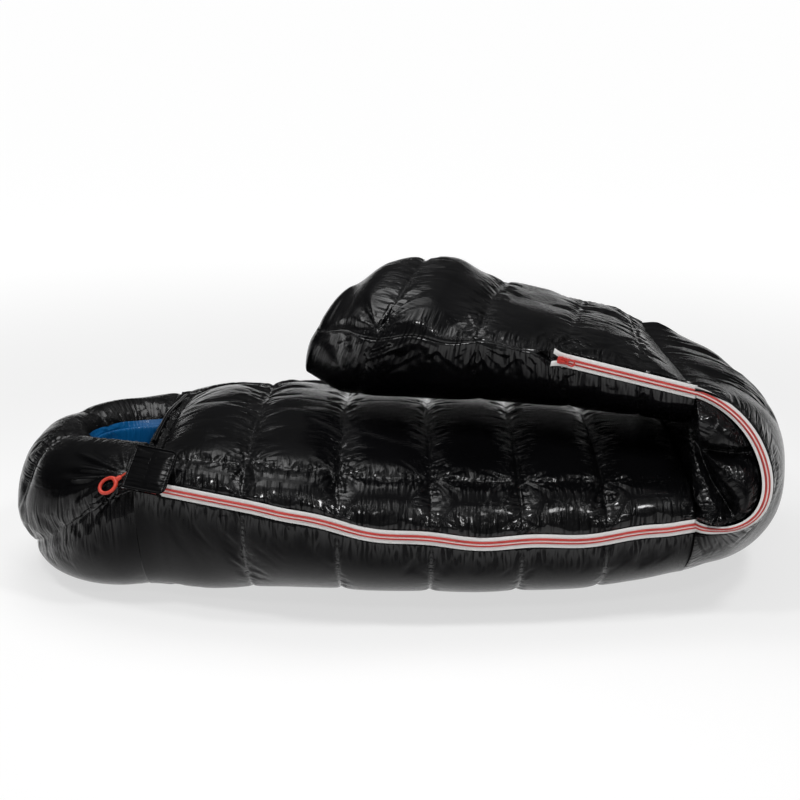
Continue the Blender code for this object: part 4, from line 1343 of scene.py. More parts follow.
@dataclass
class TorsoQuilt(Quilt):
    """Body of the bag: top, front, back and bottom channels round the hollow."""

    name: str = "torso_quilt"
    seams: tuple[float, ...] = (-0.385, -0.2375, -0.094, 0.047, 0.184, 0.314, FOLD_X)
    seam_depth: float = 0.012
    long_seam_depth: float = 0.010
    zip_seam_depth: float = 0.003
    back_seam_depth: float = 0.006
    under_seam_depth: float = 0.0015
    hollow_inset: float = 0.120
    hollow_floor: float = 0.078
    hollow_slope: float = 0.035
    roof_room: float = 0.012
    split_drop: float = 0.007
    swell: float = 0.009
    bottom_swell: float = 0.003
    cover_x: float = -0.372
    cover_run: float = 0.014
    cover_close: float = 0.0025
    neck_fill: float = 0.015
    neck_run: Pair = (-0.33, -0.17)
    fold_run: Pair = (0.38, FOLD_X - 0.01)
    collar_slack: float = 0.006
    chest_slack: float = 0.009
    chest_run: Pair = (-0.27, -0.20)
    far_sag: float = 0.010
    zip_calm: float = 0.028
    step: float = 0.0042
    lump: float = 0.0007

    def __post_init__(self) -> None:
        """Name the solids that the quilt stands for."""
        panels = ("top", "front", "bottom")
        chambers = [f"torso_{panel}_chamber_{i}" for panel in panels for i in range(1, 7)]
        self.nodes = ("neck_collar", *chambers, "torso_back_panel_1", "torso_back_panel_2")

    def hollow_half(self, x: np.ndarray) -> np.ndarray:
        """Return half the width of the hollow."""
        return TORSO_SIZES.at(x, 1) - self.hollow_inset

    def split_z(self, x: np.ndarray, slot: float) -> np.ndarray:
        """Return the height where side and bottom panels part, at the hollow."""
        drop = self.split_drop - 2.0 * slot if slot < 0 else 0.0
        return np.minimum(zip_height(x) + slot, TORSO_SIZES.at(x, 4) - self.roof_room - drop)

    @staticmethod
    def _band(
        x: np.ndarray, low: np.ndarray, high: np.ndarray, parts: list[Pair]
    ) -> tuple[np.ndarray, np.ndarray]:
        """Spread the rows of one panel.

        Args:
            x: Station of each column.
            low: Angle of the panel's first edge in each column.
            high: Angle of its last edge.
            parts: Shares and row distances, as even_shares takes them.

        Returns:
            The angles of the rows, and how far they lie across the panel.
        """
        middle = len(x) // 2
        line = torso_skin(x[middle], low[middle] + (high - low)[middle] * CLOSE_SHARES, 0.0)
        shares = even_shares(line, parts)
        return low[:, None] + (high - low)[:, None] * shares[None, :], shares

    def grid(self) -> QuiltGrid:
        """Return the body's cloth: zip, front, top, back, bottom, zip, hollow."""
        x, marks = columns_between((NECK_X, *self.seams), self.step)
        edge, crown = zip_height(x), TORSO_SIZES.at(x, 3)
        ones = np.ones_like(x)
        covered = 1.0 - smooth(x, self.cover_x, self.cover_x + self.cover_run)
        zip_top = np.arcsin(ZIP_SLOT / (crown - edge))
        zip_low = 2 * math.pi - np.arcsin((ZIP_SLOT - self.cover_close * covered) / (edge + FLOOR_SINK))
        far = math.pi - FRONT_SEAM
        fine, coarse = self.step, 2.2 * self.step
        full = across_channel(x, (NECK_X, *self.seams))
        plain = across_channel(x, (NECK_X - 0.14, *self.seams[1:]))
        deep, sewn = self.seam_depth, self.long_seam_depth
        shallow, back, under = self.zip_seam_depth, self.back_seam_depth, self.under_seam_depth
        top = [(0.55, fine), (1.0, coarse)]
        bottom = [(0.34, coarse), (0.62, 3 * fine), (1.0, fine)]
        bands = (
            (zip_top, FRONT_SEAM * ones, [(1.0, fine)], (ZIP_DEPTH, sewn), plain, (shallow, deep)),
            (FRONT_SEAM * ones, far * ones, top, (sewn, sewn), full, (deep, deep)),
            (far * ones, math.pi * ones, [(1.0, coarse)], (sewn, ZIP_DEPTH), plain, (deep, back)),
            (math.pi * ones, zip_low, bottom, (ZIP_DEPTH, ZIP_DEPTH), plain, (shallow, under)),
        )
        collar = 0.5 + 0.5 * smooth(x, NECK_X, self.seams[0])
        neck_fill = self.neck_fill * (1.0 - smooth(x, *self.neck_run))
        to_fold = 1.0 - smooth(x, *self.fold_run)
        slack = self.collar_slack + self.chest_slack * smooth(x, *self.chest_run)
        skins, edges, rows = [], [], 0
        for low, high, parts, (first, last), channel, (start, end) in bands:
            angles, v = self._band(x, low, high, parts)
            border = (np.where(v < 0.5, first, last) * (1.0 - pillow(v, 6.0)))[None, :]
            depth = (start + (end - start) * smooth(v, 0.0, 1.0))[None, :] * collar[:, None]
            if high is zip_low:
                border = border * (1.0 - 0.6 * covered[:, None] * (v > 0.5))
                depth = depth * to_fold[:, None]
            inset = np.maximum(depth * (1.0 - pillow(channel))[:, None], border)
            if high is zip_low:
                inset = inset - neck_fill[:, None] * bell(v, 0.70, 0.14)[None, :]
            if channel is full:
                inset = inset + slack[:, None] * pillow(v)[None, :]
            keep = slice(None) if high is zip_low else slice(None, -1)
            skin = torso_skin(x[:, None], angles, inset)
            skin[..., 2] -= self.far_sag * smooth(angles, 1.4, 2.2) * (1.0 - smooth(angles, 2.6, 3.1))
            skins.append(skin[:, keep])
            edges.append(rows)
            rows += skins[-1].shape[1]
        outer = np.concatenate(skins, axis=1)
        inner, roof = self.hollow_half(x), TORSO_SIZES.at(x, 4)
        lip = inner + 2 * GAP
        floor = lip - self.hollow_slope
        stops = [outer[:, -1]]
        corners = (
            (-lip, self.split_z(x, -ZIP_SLOT)),
            (-floor, self.hollow_floor),
            (floor, self.hollow_floor),
            (lip, self.split_z(x, -GAP)),
            (inner, roof),
            (-inner, roof),
            (-inner, self.split_z(x, ZIP_SLOT)),
        )
        stops += [stacked(x, y, z) for y, z in corners] + [outer[:, 0]]
        hollow = walk(stops, [4, 5, 14, 5, 3, 14, 3, 4])[:, 1:]
        points = np.concatenate([outer, hollow], axis=1)
        return self._sewn(points, x, marks, edges, rows)

    def _sewn(
        self, points: np.ndarray, x: np.ndarray, marks: list[int], edges: list[int], rows: int
    ) -> QuiltGrid:
        """Pin the seams, limit the swelling and list the sewn lines.

        Args:
            points: Points of the cloth.
            x: Station of each column.
            marks: Columns of the cross seams.
            edges: First row of each panel.
            rows: Number of outer rows.

        Returns:
            The grid, ready to swell.
        """
        shape = points.shape[:2]
        row = np.arange(shape[1])
        pinned = np.zeros(shape, bool)
        pinned[:, row >= rows - 1] = True
        pinned[:, edges] = True
        top = slice(edges[1], edges[2] + 1)
        pinned[marks[1], top] = True
        for mark in (marks[0], *marks[2:]):
            pinned[mark, :] = True
        y, z = points[..., 1], points[..., 2]
        floor = (z < 0.006) & (row[None, :] > edges[3])
        pinned |= floor
        leg_front = LEG_SIZES.at(np.clip(x, -0.128, FOLD_X), 1)[:, None]
        covered = smooth(y, leg_front - 0.05, leg_front + 0.01) * smooth(x, -0.20, -0.13)[:, None]
        covered = np.where(row[None, :] < edges[2], covered, 0.0)
        reach = np.where(row[None, :] > edges[3], self.bottom_swell, self.swell) * (1.0 - 0.8 * covered)
        reach = reach * calm_by_zip(points, rows, self.zip_calm)
        ends = smooth(x - NECK_X, 0.0, 0.08) * (1.0 - smooth(x, 0.37, FOLD_X - 0.005))
        reach[:, edges[3] :] *= ends[:, None]
        reach[:, rows - 1 :] = 0.0
        reach[floor] = 0.0
        last = shape[0] - 1
        lines = [
            SewnLine(edges[1], 0, last, False, 0.0042, 0.0100, 0.055, beyond=0.5),
            SewnLine(0, 0, last, False, 0.0026, 0.0095, 0.032),
            SewnLine(rows - 1, 0, last, False, 0.0014, 0.0095, 0.024, faint=1.8),
            SewnLine(edges[2], 0, last, False, 0.0018, 0.0110, 0.034),
            SewnLine(marks[1], edges[1], edges[2], True, 0.0014, 0.0080, 0.018),
        ]
        for mark in (marks[0], *marks[2:]):
            lines.append(SewnLine(mark, 0, edges[3], True, 0.0028, 0.0095, 0.026, faint=1.6))
            if mark not in (marks[0], marks[-1]):
                lines.append(SewnLine(mark, edges[3], rows - 1, True, 0.0004, 0.0100, 0.018, faint=12.0))
        head = tuple(points[marks[0] + 3, 0])
        gathers = [Gather(head, 0.10, 0.0022, 24)]
        for mark in marks[2:]:
            gathers.append(Gather(tuple(points[mark, edges[1]]), 0.070, 0.0036, 17))
        grid = QuiltGrid(points, pinned, reach, lines, Noise.TORSO.value, gathers)
        grid.lined_rows = (rows + 9, shape[1] - 7)
        grid.skin_rows = rows
        return grid

    def zip_line(self, x: np.ndarray) -> np.ndarray:
        """Return the points that the zip follows."""
        return stacked(x, TAPE_DEPTH - TORSO_SIZES.at(x, 1), zip_height(x))


def pinned_edges(shape: tuple[int, int], rows: int) -> np.ndarray:
    """Pick the points that a layer's edges and hidden rows hold still.

    Args:
        shape: Columns and rows of the layer.
        rows: Rows of its skin.

    Returns:
        A mask of those points.
    """
    pinned = np.zeros(shape, bool)
    pinned[:, rows - 1 :] = True
    pinned[:, 0] = True
    pinned[(0, -1), :] = True
    return pinned


# Folds of loose cloth beside the legs' side seam, round the foot and at the zip's end
LEG_PLEATS = (
    ((-0.057, -0.137, 0.396), (-0.025, -0.160, 0.414), (0.010, -0.171, 0.432)),
    ((-0.053, -0.139, 0.388), (-0.015, -0.166, 0.408), (0.022, -0.181, 0.429)),
    ((0.046, -0.190, 0.402), (0.067, -0.199, 0.425)),
    ((0.149, -0.194, 0.371), (0.173, -0.219, 0.403), (0.197, -0.223, 0.425)),
    ((0.197, -0.223, 0.425), (0.225, -0.178, 0.436), (0.261, -0.096, 0.435)),
    ((0.214, -0.199, 0.434), (0.253, -0.088, 0.438)),
    ((0.317, -0.171, 0.415), (0.358, -0.122, 0.410), (0.396, -0.071, 0.403)),
    ((0.321, -0.192, 0.411), (0.365, -0.132, 0.408)),
    ((-0.103, -0.042, 0.429), (-0.075, -0.078, 0.442), (-0.048, -0.106, 0.454)),
    ((-0.107, -0.068, 0.393), (-0.077, -0.108, 0.413), (-0.048, -0.121, 0.426)),
    ((-0.038, -0.134, 0.442), (-0.019, -0.136, 0.453), (0.006, -0.143, 0.464)),
    ((0.069, -0.197, 0.406), (0.087, -0.198, 0.434), (0.100, -0.194, 0.450)),
    ((0.246, -0.225, 0.383), (0.262, -0.222, 0.400)),
    ((0.269, -0.226, 0.374), (0.289, -0.228, 0.394)),
    ((0.117, -0.200, 0.391), (0.139, -0.214, 0.414)),
    ((-0.006, -0.163, 0.381), (0.038, -0.189, 0.413)),
    ((0.199, -0.221, 0.423), (0.219, -0.227, 0.403)),
    ((0.191, -0.223, 0.423), (0.213, -0.222, 0.389)),
)


@dataclass
class LegQuilt(Quilt):
    """Legs laid back over the body: four channels above and below the zip line, and the foot."""

    name: str = "leg_quilt"
    seams: tuple[float, ...] = (FOLD_X, 0.371, 0.252, 0.118, -0.035)
    foot_x: float = -0.128
    seam_depth: float = 0.006
    foot_depth: float = 0.010
    under_depth: float = 0.004
    side_depth: float = 0.0006
    swell: float = 0.005
    slit_lead: float = 0.026
    slit_run: float = 0.020
    slit_deep: float = 0.030
    top_slack: float = 0.021
    slack_run: Pair = (0.08, 0.22)
    shin_fill: float = 0.008
    far_sag: float = 0.010
    far_sag_run: Pair = (0.02, 0.08)
    knee_sag: float = 0.006
    knee_sag_run: Pair = (0.12, 0.22)
    ankle_fill: float = 0.006
    fold_sag: float = 0.017
    fold_run: Pair = (0.36, FOLD_X)
    toe_sag: float = 0.022
    toe_run: Pair = (0.085, 0.128)
    foot_round: float = 0.022
    foot_rings: int = 8
    zip_calm: float = 0.026
    fold_calm: float = 0.06

    def __post_init__(self) -> None:
        """Name the solids that the quilt stands for."""
        chambers = [f"leg_{side}_chamber_{i}" for side in ("over", "under") for i in range(1, 5)]
        self.nodes = (*chambers, "foot_box")

    def grid(self) -> QuiltGrid:
        """Return the legs' cloth: zip, top, back, underside, zip, slit."""
        x, marks = columns_between((*self.seams, self.foot_x), self.step)
        front, _, under, edge, top = (LEG_SIZES.at(x, column) for column in range(1, 6))
        edge = edge + side_wave(x)
        shut = 0.3 * GAP
        opened = np.clip((x - ZIP_FOOT_X + self.slit_lead) / self.slit_run, 0.0, 1.0)
        slot = shut + (ZIP_SLOT - shut) * opened
        low = np.arcsin(slot / (top - edge))
        high = 2 * math.pi - np.arcsin(slot / (edge - under + FLOOR_SINK))
        step = self.step
        halves = ((0.0, [(0.62, step), (1.0, 2 * step)]), (1.0, [(0.72, 3 * step), (1.0, step)]))
        shares = [
            even_shares(leg_skin(0.2, math.pi * (start + CLOSE_SHARES), 0.0), spread)
            for start, spread in halves
        ]
        over = low[:, None] + (math.pi - low)[:, None] * shares[0][None, :-1]
        beneath = math.pi + (high - math.pi)[:, None] * shares[1][None, :]
        foot = np.clip((x - self.foot_x) / (self.seams[-1] - self.foot_x), 0.0, 1.0)
        channel = pillow(across_channel(x, self.seams))
        channel = np.where(x < self.seams[-1], pillow(foot / 2 + 0.5), channel)
        channel = np.where(x > 0.5 * (self.seams[0] + self.seams[1]), 1.0, channel)
        zipped = smooth(x, ZIP_FOOT_X - 0.05, ZIP_FOOT_X)
        zip_depth = self.side_depth + (ZIP_DEPTH - self.side_depth) * zipped
        zip_depth *= smooth(x, self.foot_x, self.foot_x + 0.05)
        foot_share = bell(x, self.seams[-1], 0.05)
        depth = self.seam_depth + (self.foot_depth - self.seam_depth) * foot_share
        parts = []
        slack = (self.top_slack * smooth(x, *self.slack_run) - self.shin_fill * bell(x, 0.02, 0.045))[:, None]
        sag = self.far_sag * smooth(x, *self.far_sag_run) + self.knee_sag * smooth(x, *self.knee_sag_run)
        sag = (sag - self.ankle_fill * bell(x, -0.035, 0.035))[:, None]
        to_fold = smooth(x, *self.fold_run)[:, None]
        sag = sag * (1.0 - 0.6 * to_fold)
        toe = (self.toe_sag * smooth(-x, *self.toe_run))[:, None]
        for angles, share, deep in ((over, shares[0][:-1], depth), (beneath, shares[1], self.under_depth)):
            border = zip_depth[:, None] * (1.0 - pillow(share, 6.0))[None, :]
            inset = np.maximum((deep * (1.0 - channel))[:, None], border)
            up = np.maximum(np.sin(angles), 0.0)
            skin = leg_skin(x[:, None], angles, inset + slack * up)
            skin[..., 2] -= sag * far_side(angles) + toe * np.sqrt(up) + self.fold_sag * to_fold * up
            parts.append(skin)
        outer = np.concatenate(parts, axis=1)
        rows, back_row = outer.shape[1], parts[0].shape[1]
        stops = [outer[:, -1]]
        stops += [leg_slant(x, front + self.slit_deep, edge + side * slot) for side in (-1.0, 1.0)]
        stops.append(outer[:, 0])
        points = np.concatenate([outer, walk(stops, [4, 1, 4])[:, 1:]], axis=1)
        centre = points[-1].mean(0)
        for turn in np.radians(np.linspace(12.0, 84.0, self.foot_rings)):
            ring = centre + (points[len(x) - 1] - centre) * math.cos(turn)
            ring[:, 0] -= self.foot_round * math.sin(turn)
            points = np.concatenate([points, ring[None]])
        grid = self._sewn(points, marks[:-1], rows, back_row)
        closed = 1.0 - smooth(x, ZIP_FOOT_X - 0.034, ZIP_FOOT_X - self.slit_lead)
        grid.shut = np.concatenate([closed, np.ones(self.foot_rings)])
        return grid

    def _sewn(self, points: np.ndarray, marks: list[int], rows: int, back_row: int) -> QuiltGrid:
        """Pin the seams, limit the swelling and list the sewn lines.

        Args:
            points: Points of the cloth.
            marks: Columns of the cross seams.
            rows: Number of outer rows.
            back_row: First row of the underside.

        Returns:
            The grid, ready to swell.
        """
        shape = points.shape[:2]
        row = np.arange(shape[1])
        foot = marks[-1]
        pinned = np.zeros(shape, bool)
        pinned[:, row >= rows - 1] = True
        pinned[:, 0] = True
        pinned[:foot, back_row] = True
        pinned[marks, :] = True
        pinned[-1, :] = True
        beneath = (row[None, :] > back_row) & (row[None, :] < rows)
        depth = np.clip((LEG_SIZES.at(0.2, 4) - points[..., 2]) / 0.10, 0.0, 1.0)
        reach = np.where(beneath, self.swell * (1.0 - 0.85 * smooth(depth, 0.2, 0.8)), self.swell)
        reach = reach * calm_by_zip(points, rows, self.zip_calm)
        reach = reach * (0.15 + 0.85 * smooth(FOLD_X + SHIFT_X - points[..., 0], 0.0, self.fold_calm))
        reach[:, rows - 1 :] = 0.0
        last = shape[0] - 1 - self.foot_rings
        lines = [
            SewnLine(0, 0, last, False, 0.0022, 0.0085, 0.034),
            SewnLine(rows - 1, 0, last, False, 0.0016, 0.0085, 0.034),
            SewnLine(back_row, 0, foot, False, 0.0016, 0.0100, 0.030),
        ]
        lines += [SewnLine(mark, 0, back_row, True, 0.0013, 0.0085, 0.020) for mark in marks[1:]]
        lines += [
            SewnLine(mark, back_row, rows - 1, True, 0.0004, 0.0090, 0.020, faint=8.0) for mark in marks
        ]
        slider = int(np.argmin(np.abs(points[:, 0, 0] - SHIFT_X - ZIP_FOOT_X)))
        gathers = [
            Gather(tuple(points[foot, 0]), 0.15, 0.0052, 13),
            Gather(tuple(points[slider, 0]), 0.13, 0.0044, 15),
            Gather(tuple(points[marks[3], 0]), 0.09, 0.0036, 14),
        ]
        grid = QuiltGrid(points, pinned, reach, lines, Noise.LEGS.value, gathers)
        grid.pleats = [Pleat(list(line)) for line in LEG_PLEATS]
        grid.skin_rows = rows
        return grid

    def fold_edge(self) -> np.ndarray:
        """Return the upper skin's points where the fold is sewn on, from the zip to the far side."""
        edge = self.grid().points[0]
        return edge[: int(np.argmax(edge[:, 1])) + 1]

    def zip_line(self, x: np.ndarray) -> np.ndarray:
        """Return the points that the zip follows."""
        return stacked(x, LEG_SIZES.at(x, 1) + TAPE_DEPTH, LEG_SIZES.at(x, 4))


@dataclass
class FoldOuterQuilt(Quilt):
    """Outer layer of the fold, outside the zip line."""

    name: str = "fold_outer_quilt"
    nodes: tuple[str, ...] = ("fold_outer_panel",)
    end_depth: float = 0.0035
    corner: float = 0.010
    corner_at: Pair = (32.0, 25.0)
    top_slack: float = 0.019
    top_run: Pair = (42.0, 82.0)
    low_slack: float = 0.009
    low_slack_at: Pair = (-72.0, 13.0)
    low_corner: float = 0.011
    low_corner_at: Pair = (-26.0, 22.0)
    far_sag: float = 0.010
    lap: float = 0.0006
    lap_run: Pair = (66.0, 89.0)
    rim_run: Pair = (0.016, 0.07)
    wall_inset: float = 0.004
    wall_drop: float = 0.030
    wall_run: Pair = (50.0, 75.0)
    side_inset: float = 0.030
    swell: float = 0.006

    def grid(self) -> QuiltGrid:
        """Return the layer's cloth, column by column round the fold."""
        degrees = np.concatenate([[-92.0], np.linspace(-90.0, 90.0, 121), [91.0]])
        inside = np.clip(degrees, -90.0, 90.0)
        zip_radius, outer, half = (FOLD_SIZES.at(inside, column)[:, None] for column in (1, 2, 3))
        inner = zip_radius + ZIP_SLOT
        power = 1.0 + np.cos(np.radians(inside))[:, None]
        turn = math.pi * CLOSE_SHARES
        near, out, across = (FOLD_SIZES.at(0.0, column) for column in (1, 2, 3))
        rise = (out - near - ZIP_SLOT) * np.sin(turn) ** 2
        line = fold_at(0.0, near + ZIP_SLOT + rise, -across * np.cos(turn))
        share = even_shares(line, [(0.55, self.step), (1.0, 2 * self.step)])
        angle = math.pi * share[None, :]
        drawn = self.end_depth * (1.0 - pillow((degrees + 90.0) / 180.0, 7.0)) * smooth(degrees, 0.0, 60.0)
        drawn = drawn + self.top_slack * smooth(degrees, *self.top_run)
        drawn = drawn - self.corner * bell(degrees, *self.corner_at)
        drawn = drawn + self.low_slack * bell(degrees, *self.low_slack_at)
        drawn = (drawn - self.low_corner * bell(degrees, *self.low_corner_at))[:, None]
        far = far_side(angle) * smooth(degrees, *self.top_run)[:, None]
        radius = inner + (outer - inner - drawn) * np.sin(angle) ** power - self.far_sag * far
        skin = fold_at(degrees[:, None], radius, -half * np.cos(angle))
        rows = skin.shape[1]
        edge = LegQuilt().fold_edge()
        level = np.interp(skin[..., 1], edge[:, 1], edge[:, 2]) + self.lap
        lapped = smooth(degrees, *self.lap_run)[:, None]
        skin[..., 2] += (level - skin[..., 2]) * lapped * smooth(share, *self.rim_run)
        low = inner[:, 0] - self.wall_inset - self.wall_drop * smooth(degrees, *self.wall_run)
        side = half[:, 0] - self.side_inset
        stops = [skin[:, -1], fold_at(degrees, low, side), fold_at(degrees, low, -side), skin[:, 0]]
        points = np.concatenate([skin, walk(stops, [3, 16, 3])[:, 1:]], axis=1)
        shape = points.shape[:2]
        pinned = pinned_edges(shape, rows)
        reach = np.full(shape, self.swell)
        reach *= (0.2 + 0.8 * smooth(np.arange(shape[1]), 0.0, 8.0))[None, :]
        reach *= (0.15 + 0.85 * smooth(90.0 - np.abs(degrees), 0.0, 35.0))[:, None]
        reach[:, rows - 1 :] = 0.0
        last = shape[0] - 1
        lines = [
            SewnLine(0, 0, last, False, 0.0030, 0.0100, 0.060),
            SewnLine(1, 0, rows - 1, True, 0.0016, 0.0080, 0.045, faint=2.0),
        ]
        return QuiltGrid(points, pinned, reach, lines, Noise.FOLD_OUT.value)


# Folds in the lobes inside the bend
FOLD_PLEATS = (
    ((0.484, -0.275, 0.266), (0.502, -0.292, 0.259), (0.519, -0.303, 0.248)),
    ((0.487, -0.280, 0.255), (0.500, -0.295, 0.241), (0.510, -0.304, 0.228)),
    ((0.493, -0.283, 0.234), (0.504, -0.293, 0.216), (0.512, -0.297, 0.200)),
    ((0.464, -0.276, 0.355), (0.485, -0.276, 0.358), (0.509, -0.278, 0.347)),
    ((0.466, -0.285, 0.330), (0.491, -0.288, 0.341), (0.513, -0.288, 0.344)),
    ((0.480, -0.287, 0.302), (0.497, -0.292, 0.315), (0.522, -0.292, 0.317)),
)


@dataclass
class FoldInnerQuilt(Quilt):
    """Inner layer of the fold: two lobes parted by a crease, inside the zip line."""

    name: str = "fold_inner_quilt"
    nodes: tuple[str, ...] = ("fold_inner_panel",)
    columns: int = 97
    hub: float = 0.006
    bulge: float = 0.028
    lobe: float = 0.055
    depth: float = 0.016
    crease_width: float = 0.012
    turn_in: float = 0.030
    turn_in_width: float = 0.032
    wall_inset: float = 0.0046
    wall_drop: float = 0.032
    wall_run: Pair = (40.0, 70.0)
    swell: float = 0.005
    level_crease: tuple = ((0.010, 0.082), (0.060, 0.079), (0.105, 0.078))
    side_crease: tuple = ((-0.020, 0.112), (0.0076, 0.0885), (0.0305, 0.033), (0.0534, -0.003))

    def crease_lines(self, y: float) -> list[FreeLine]:
        """Return the two creases that part the lobes, across at y."""
        return [
            FreeLine(
                [(FOLD_X + SHIFT_X + x, y, FOLD_AXIS_Z + z) for x, z in line], height=0.0034, reach=0.050
            )
            for line in (self.level_crease, self.side_crease)
        ]

    def grid(self) -> QuiltGrid:
        """Return the layer's cloth, column by column round the fold."""
        degrees = np.linspace(-90.0, 90.0, self.columns)
        zip_radius, half = (FOLD_SIZES.at(degrees, column) for column in (1, 3))
        high = zip_radius - ZIP_SLOT
        wide = zip_radius + ZIP_SLOT - self.wall_inset - self.wall_drop * smooth(degrees, *self.wall_run)
        share = np.linspace(0.0, 1.0, 44)[None, :]
        radius = high[:, None] * (1 - share) + self.hub * share
        flat = fold_at(degrees[:, None], radius, 0.0)
        creases = self.crease_lines(0.0)
        away = np.minimum(*(line.near(flat)[0] for line in creases))
        puffed = pillow(np.minimum(away, self.lobe) / (2 * self.lobe), 2.2)
        puffed = puffed * smooth(high[:, None] - radius, -0.004, 0.030)
        y = (-half + 0.004)[:, None] + self.depth * bell(away, 0.0, self.crease_width) - self.bulge * puffed
        beside, above = flat[..., 0] - FOLD_X - SHIFT_X, flat[..., 2] - FOLD_AXIS_Z
        turned = 1.0 - np.sqrt(1.0 - (1.0 - np.clip(beside / self.turn_in_width, 0.0, 1.0)) ** 2)
        y = y + self.turn_in * turned * smooth(above, 0.01, 0.03) * (1.0 - smooth(above, 0.06, 0.085))
        skin = fold_at(degrees[:, None], radius, y)
        rows = skin.shape[1]
        mid = 0.55 * zip_radius + 0.004
        stops = [skin[:, -1]]
        corners = (
            (0.004, 0.0),
            (self.hub, half - 0.020),
            (mid, half - 0.002),
            (high, half - 0.006),
            (wide, half - 0.034),
            (wide, -half + 0.034),
            (high, -half + 0.024),
        )
        stops += [fold_at(degrees, far, across) for far, across in corners] + [skin[:, 0]]
        points = np.concatenate([skin, walk(stops, [8, 8, 4, 4, 3, 12, 3, 3])[:, 1:]], axis=1)
        shape = points.shape[:2]
        pinned = pinned_edges(shape, rows)
        pinned[:, :rows] |= away < 0.006
        reach = np.full(shape, self.swell)
        reach *= (0.2 + 0.8 * smooth(np.arange(shape[1]), 0.0, 5.0))[None, :]
        reach[:, rows - 1 :] = 0.0
        last = self.columns - 1
        lines = [SewnLine(end, 0, rows - 1, True, 0.0014, 0.0075, 0.030) for end in (0, last)]
        lines.append(SewnLine(0, 0, last, False, 0.0026, 0.0085, 0.030))
        fan = tuple(fold_at(-40.0, 0.036, -0.312))
        pleats = [Pleat(list(line), height=0.0050, width=0.0050) for line in FOLD_PLEATS]
        return QuiltGrid(
            points, pinned, reach, lines, Noise.FOLD_IN.value, [Gather(fan, 0.07, 0.0030, 16)],
            self.crease_lines(-0.300), pleats,
        )


# Folds of the cheek and shoulder that run to the drawcord's exit
HOOD_PLEATS = (
    ((-0.510, -0.172, 0.245), (-0.469, -0.214, 0.242), (-0.430, -0.254, 0.233)),
    ((-0.498, -0.213, 0.234), (-0.462, -0.235, 0.235), (-0.430, -0.257, 0.231)),
    ((-0.530, -0.212, 0.216), (-0.476, -0.247, 0.223), (-0.439, -0.261, 0.225)),
    ((-0.481, -0.172, 0.250), (-0.453, -0.213, 0.245), (-0.428, -0.250, 0.235)),
    ((-0.447, -0.262, 0.195), (-0.431, -0.269, 0.210), (-0.422, -0.267, 0.225)),
    ((-0.483, -0.249, 0.169), (-0.453, -0.261, 0.194), (-0.428, -0.269, 0.221)),
)


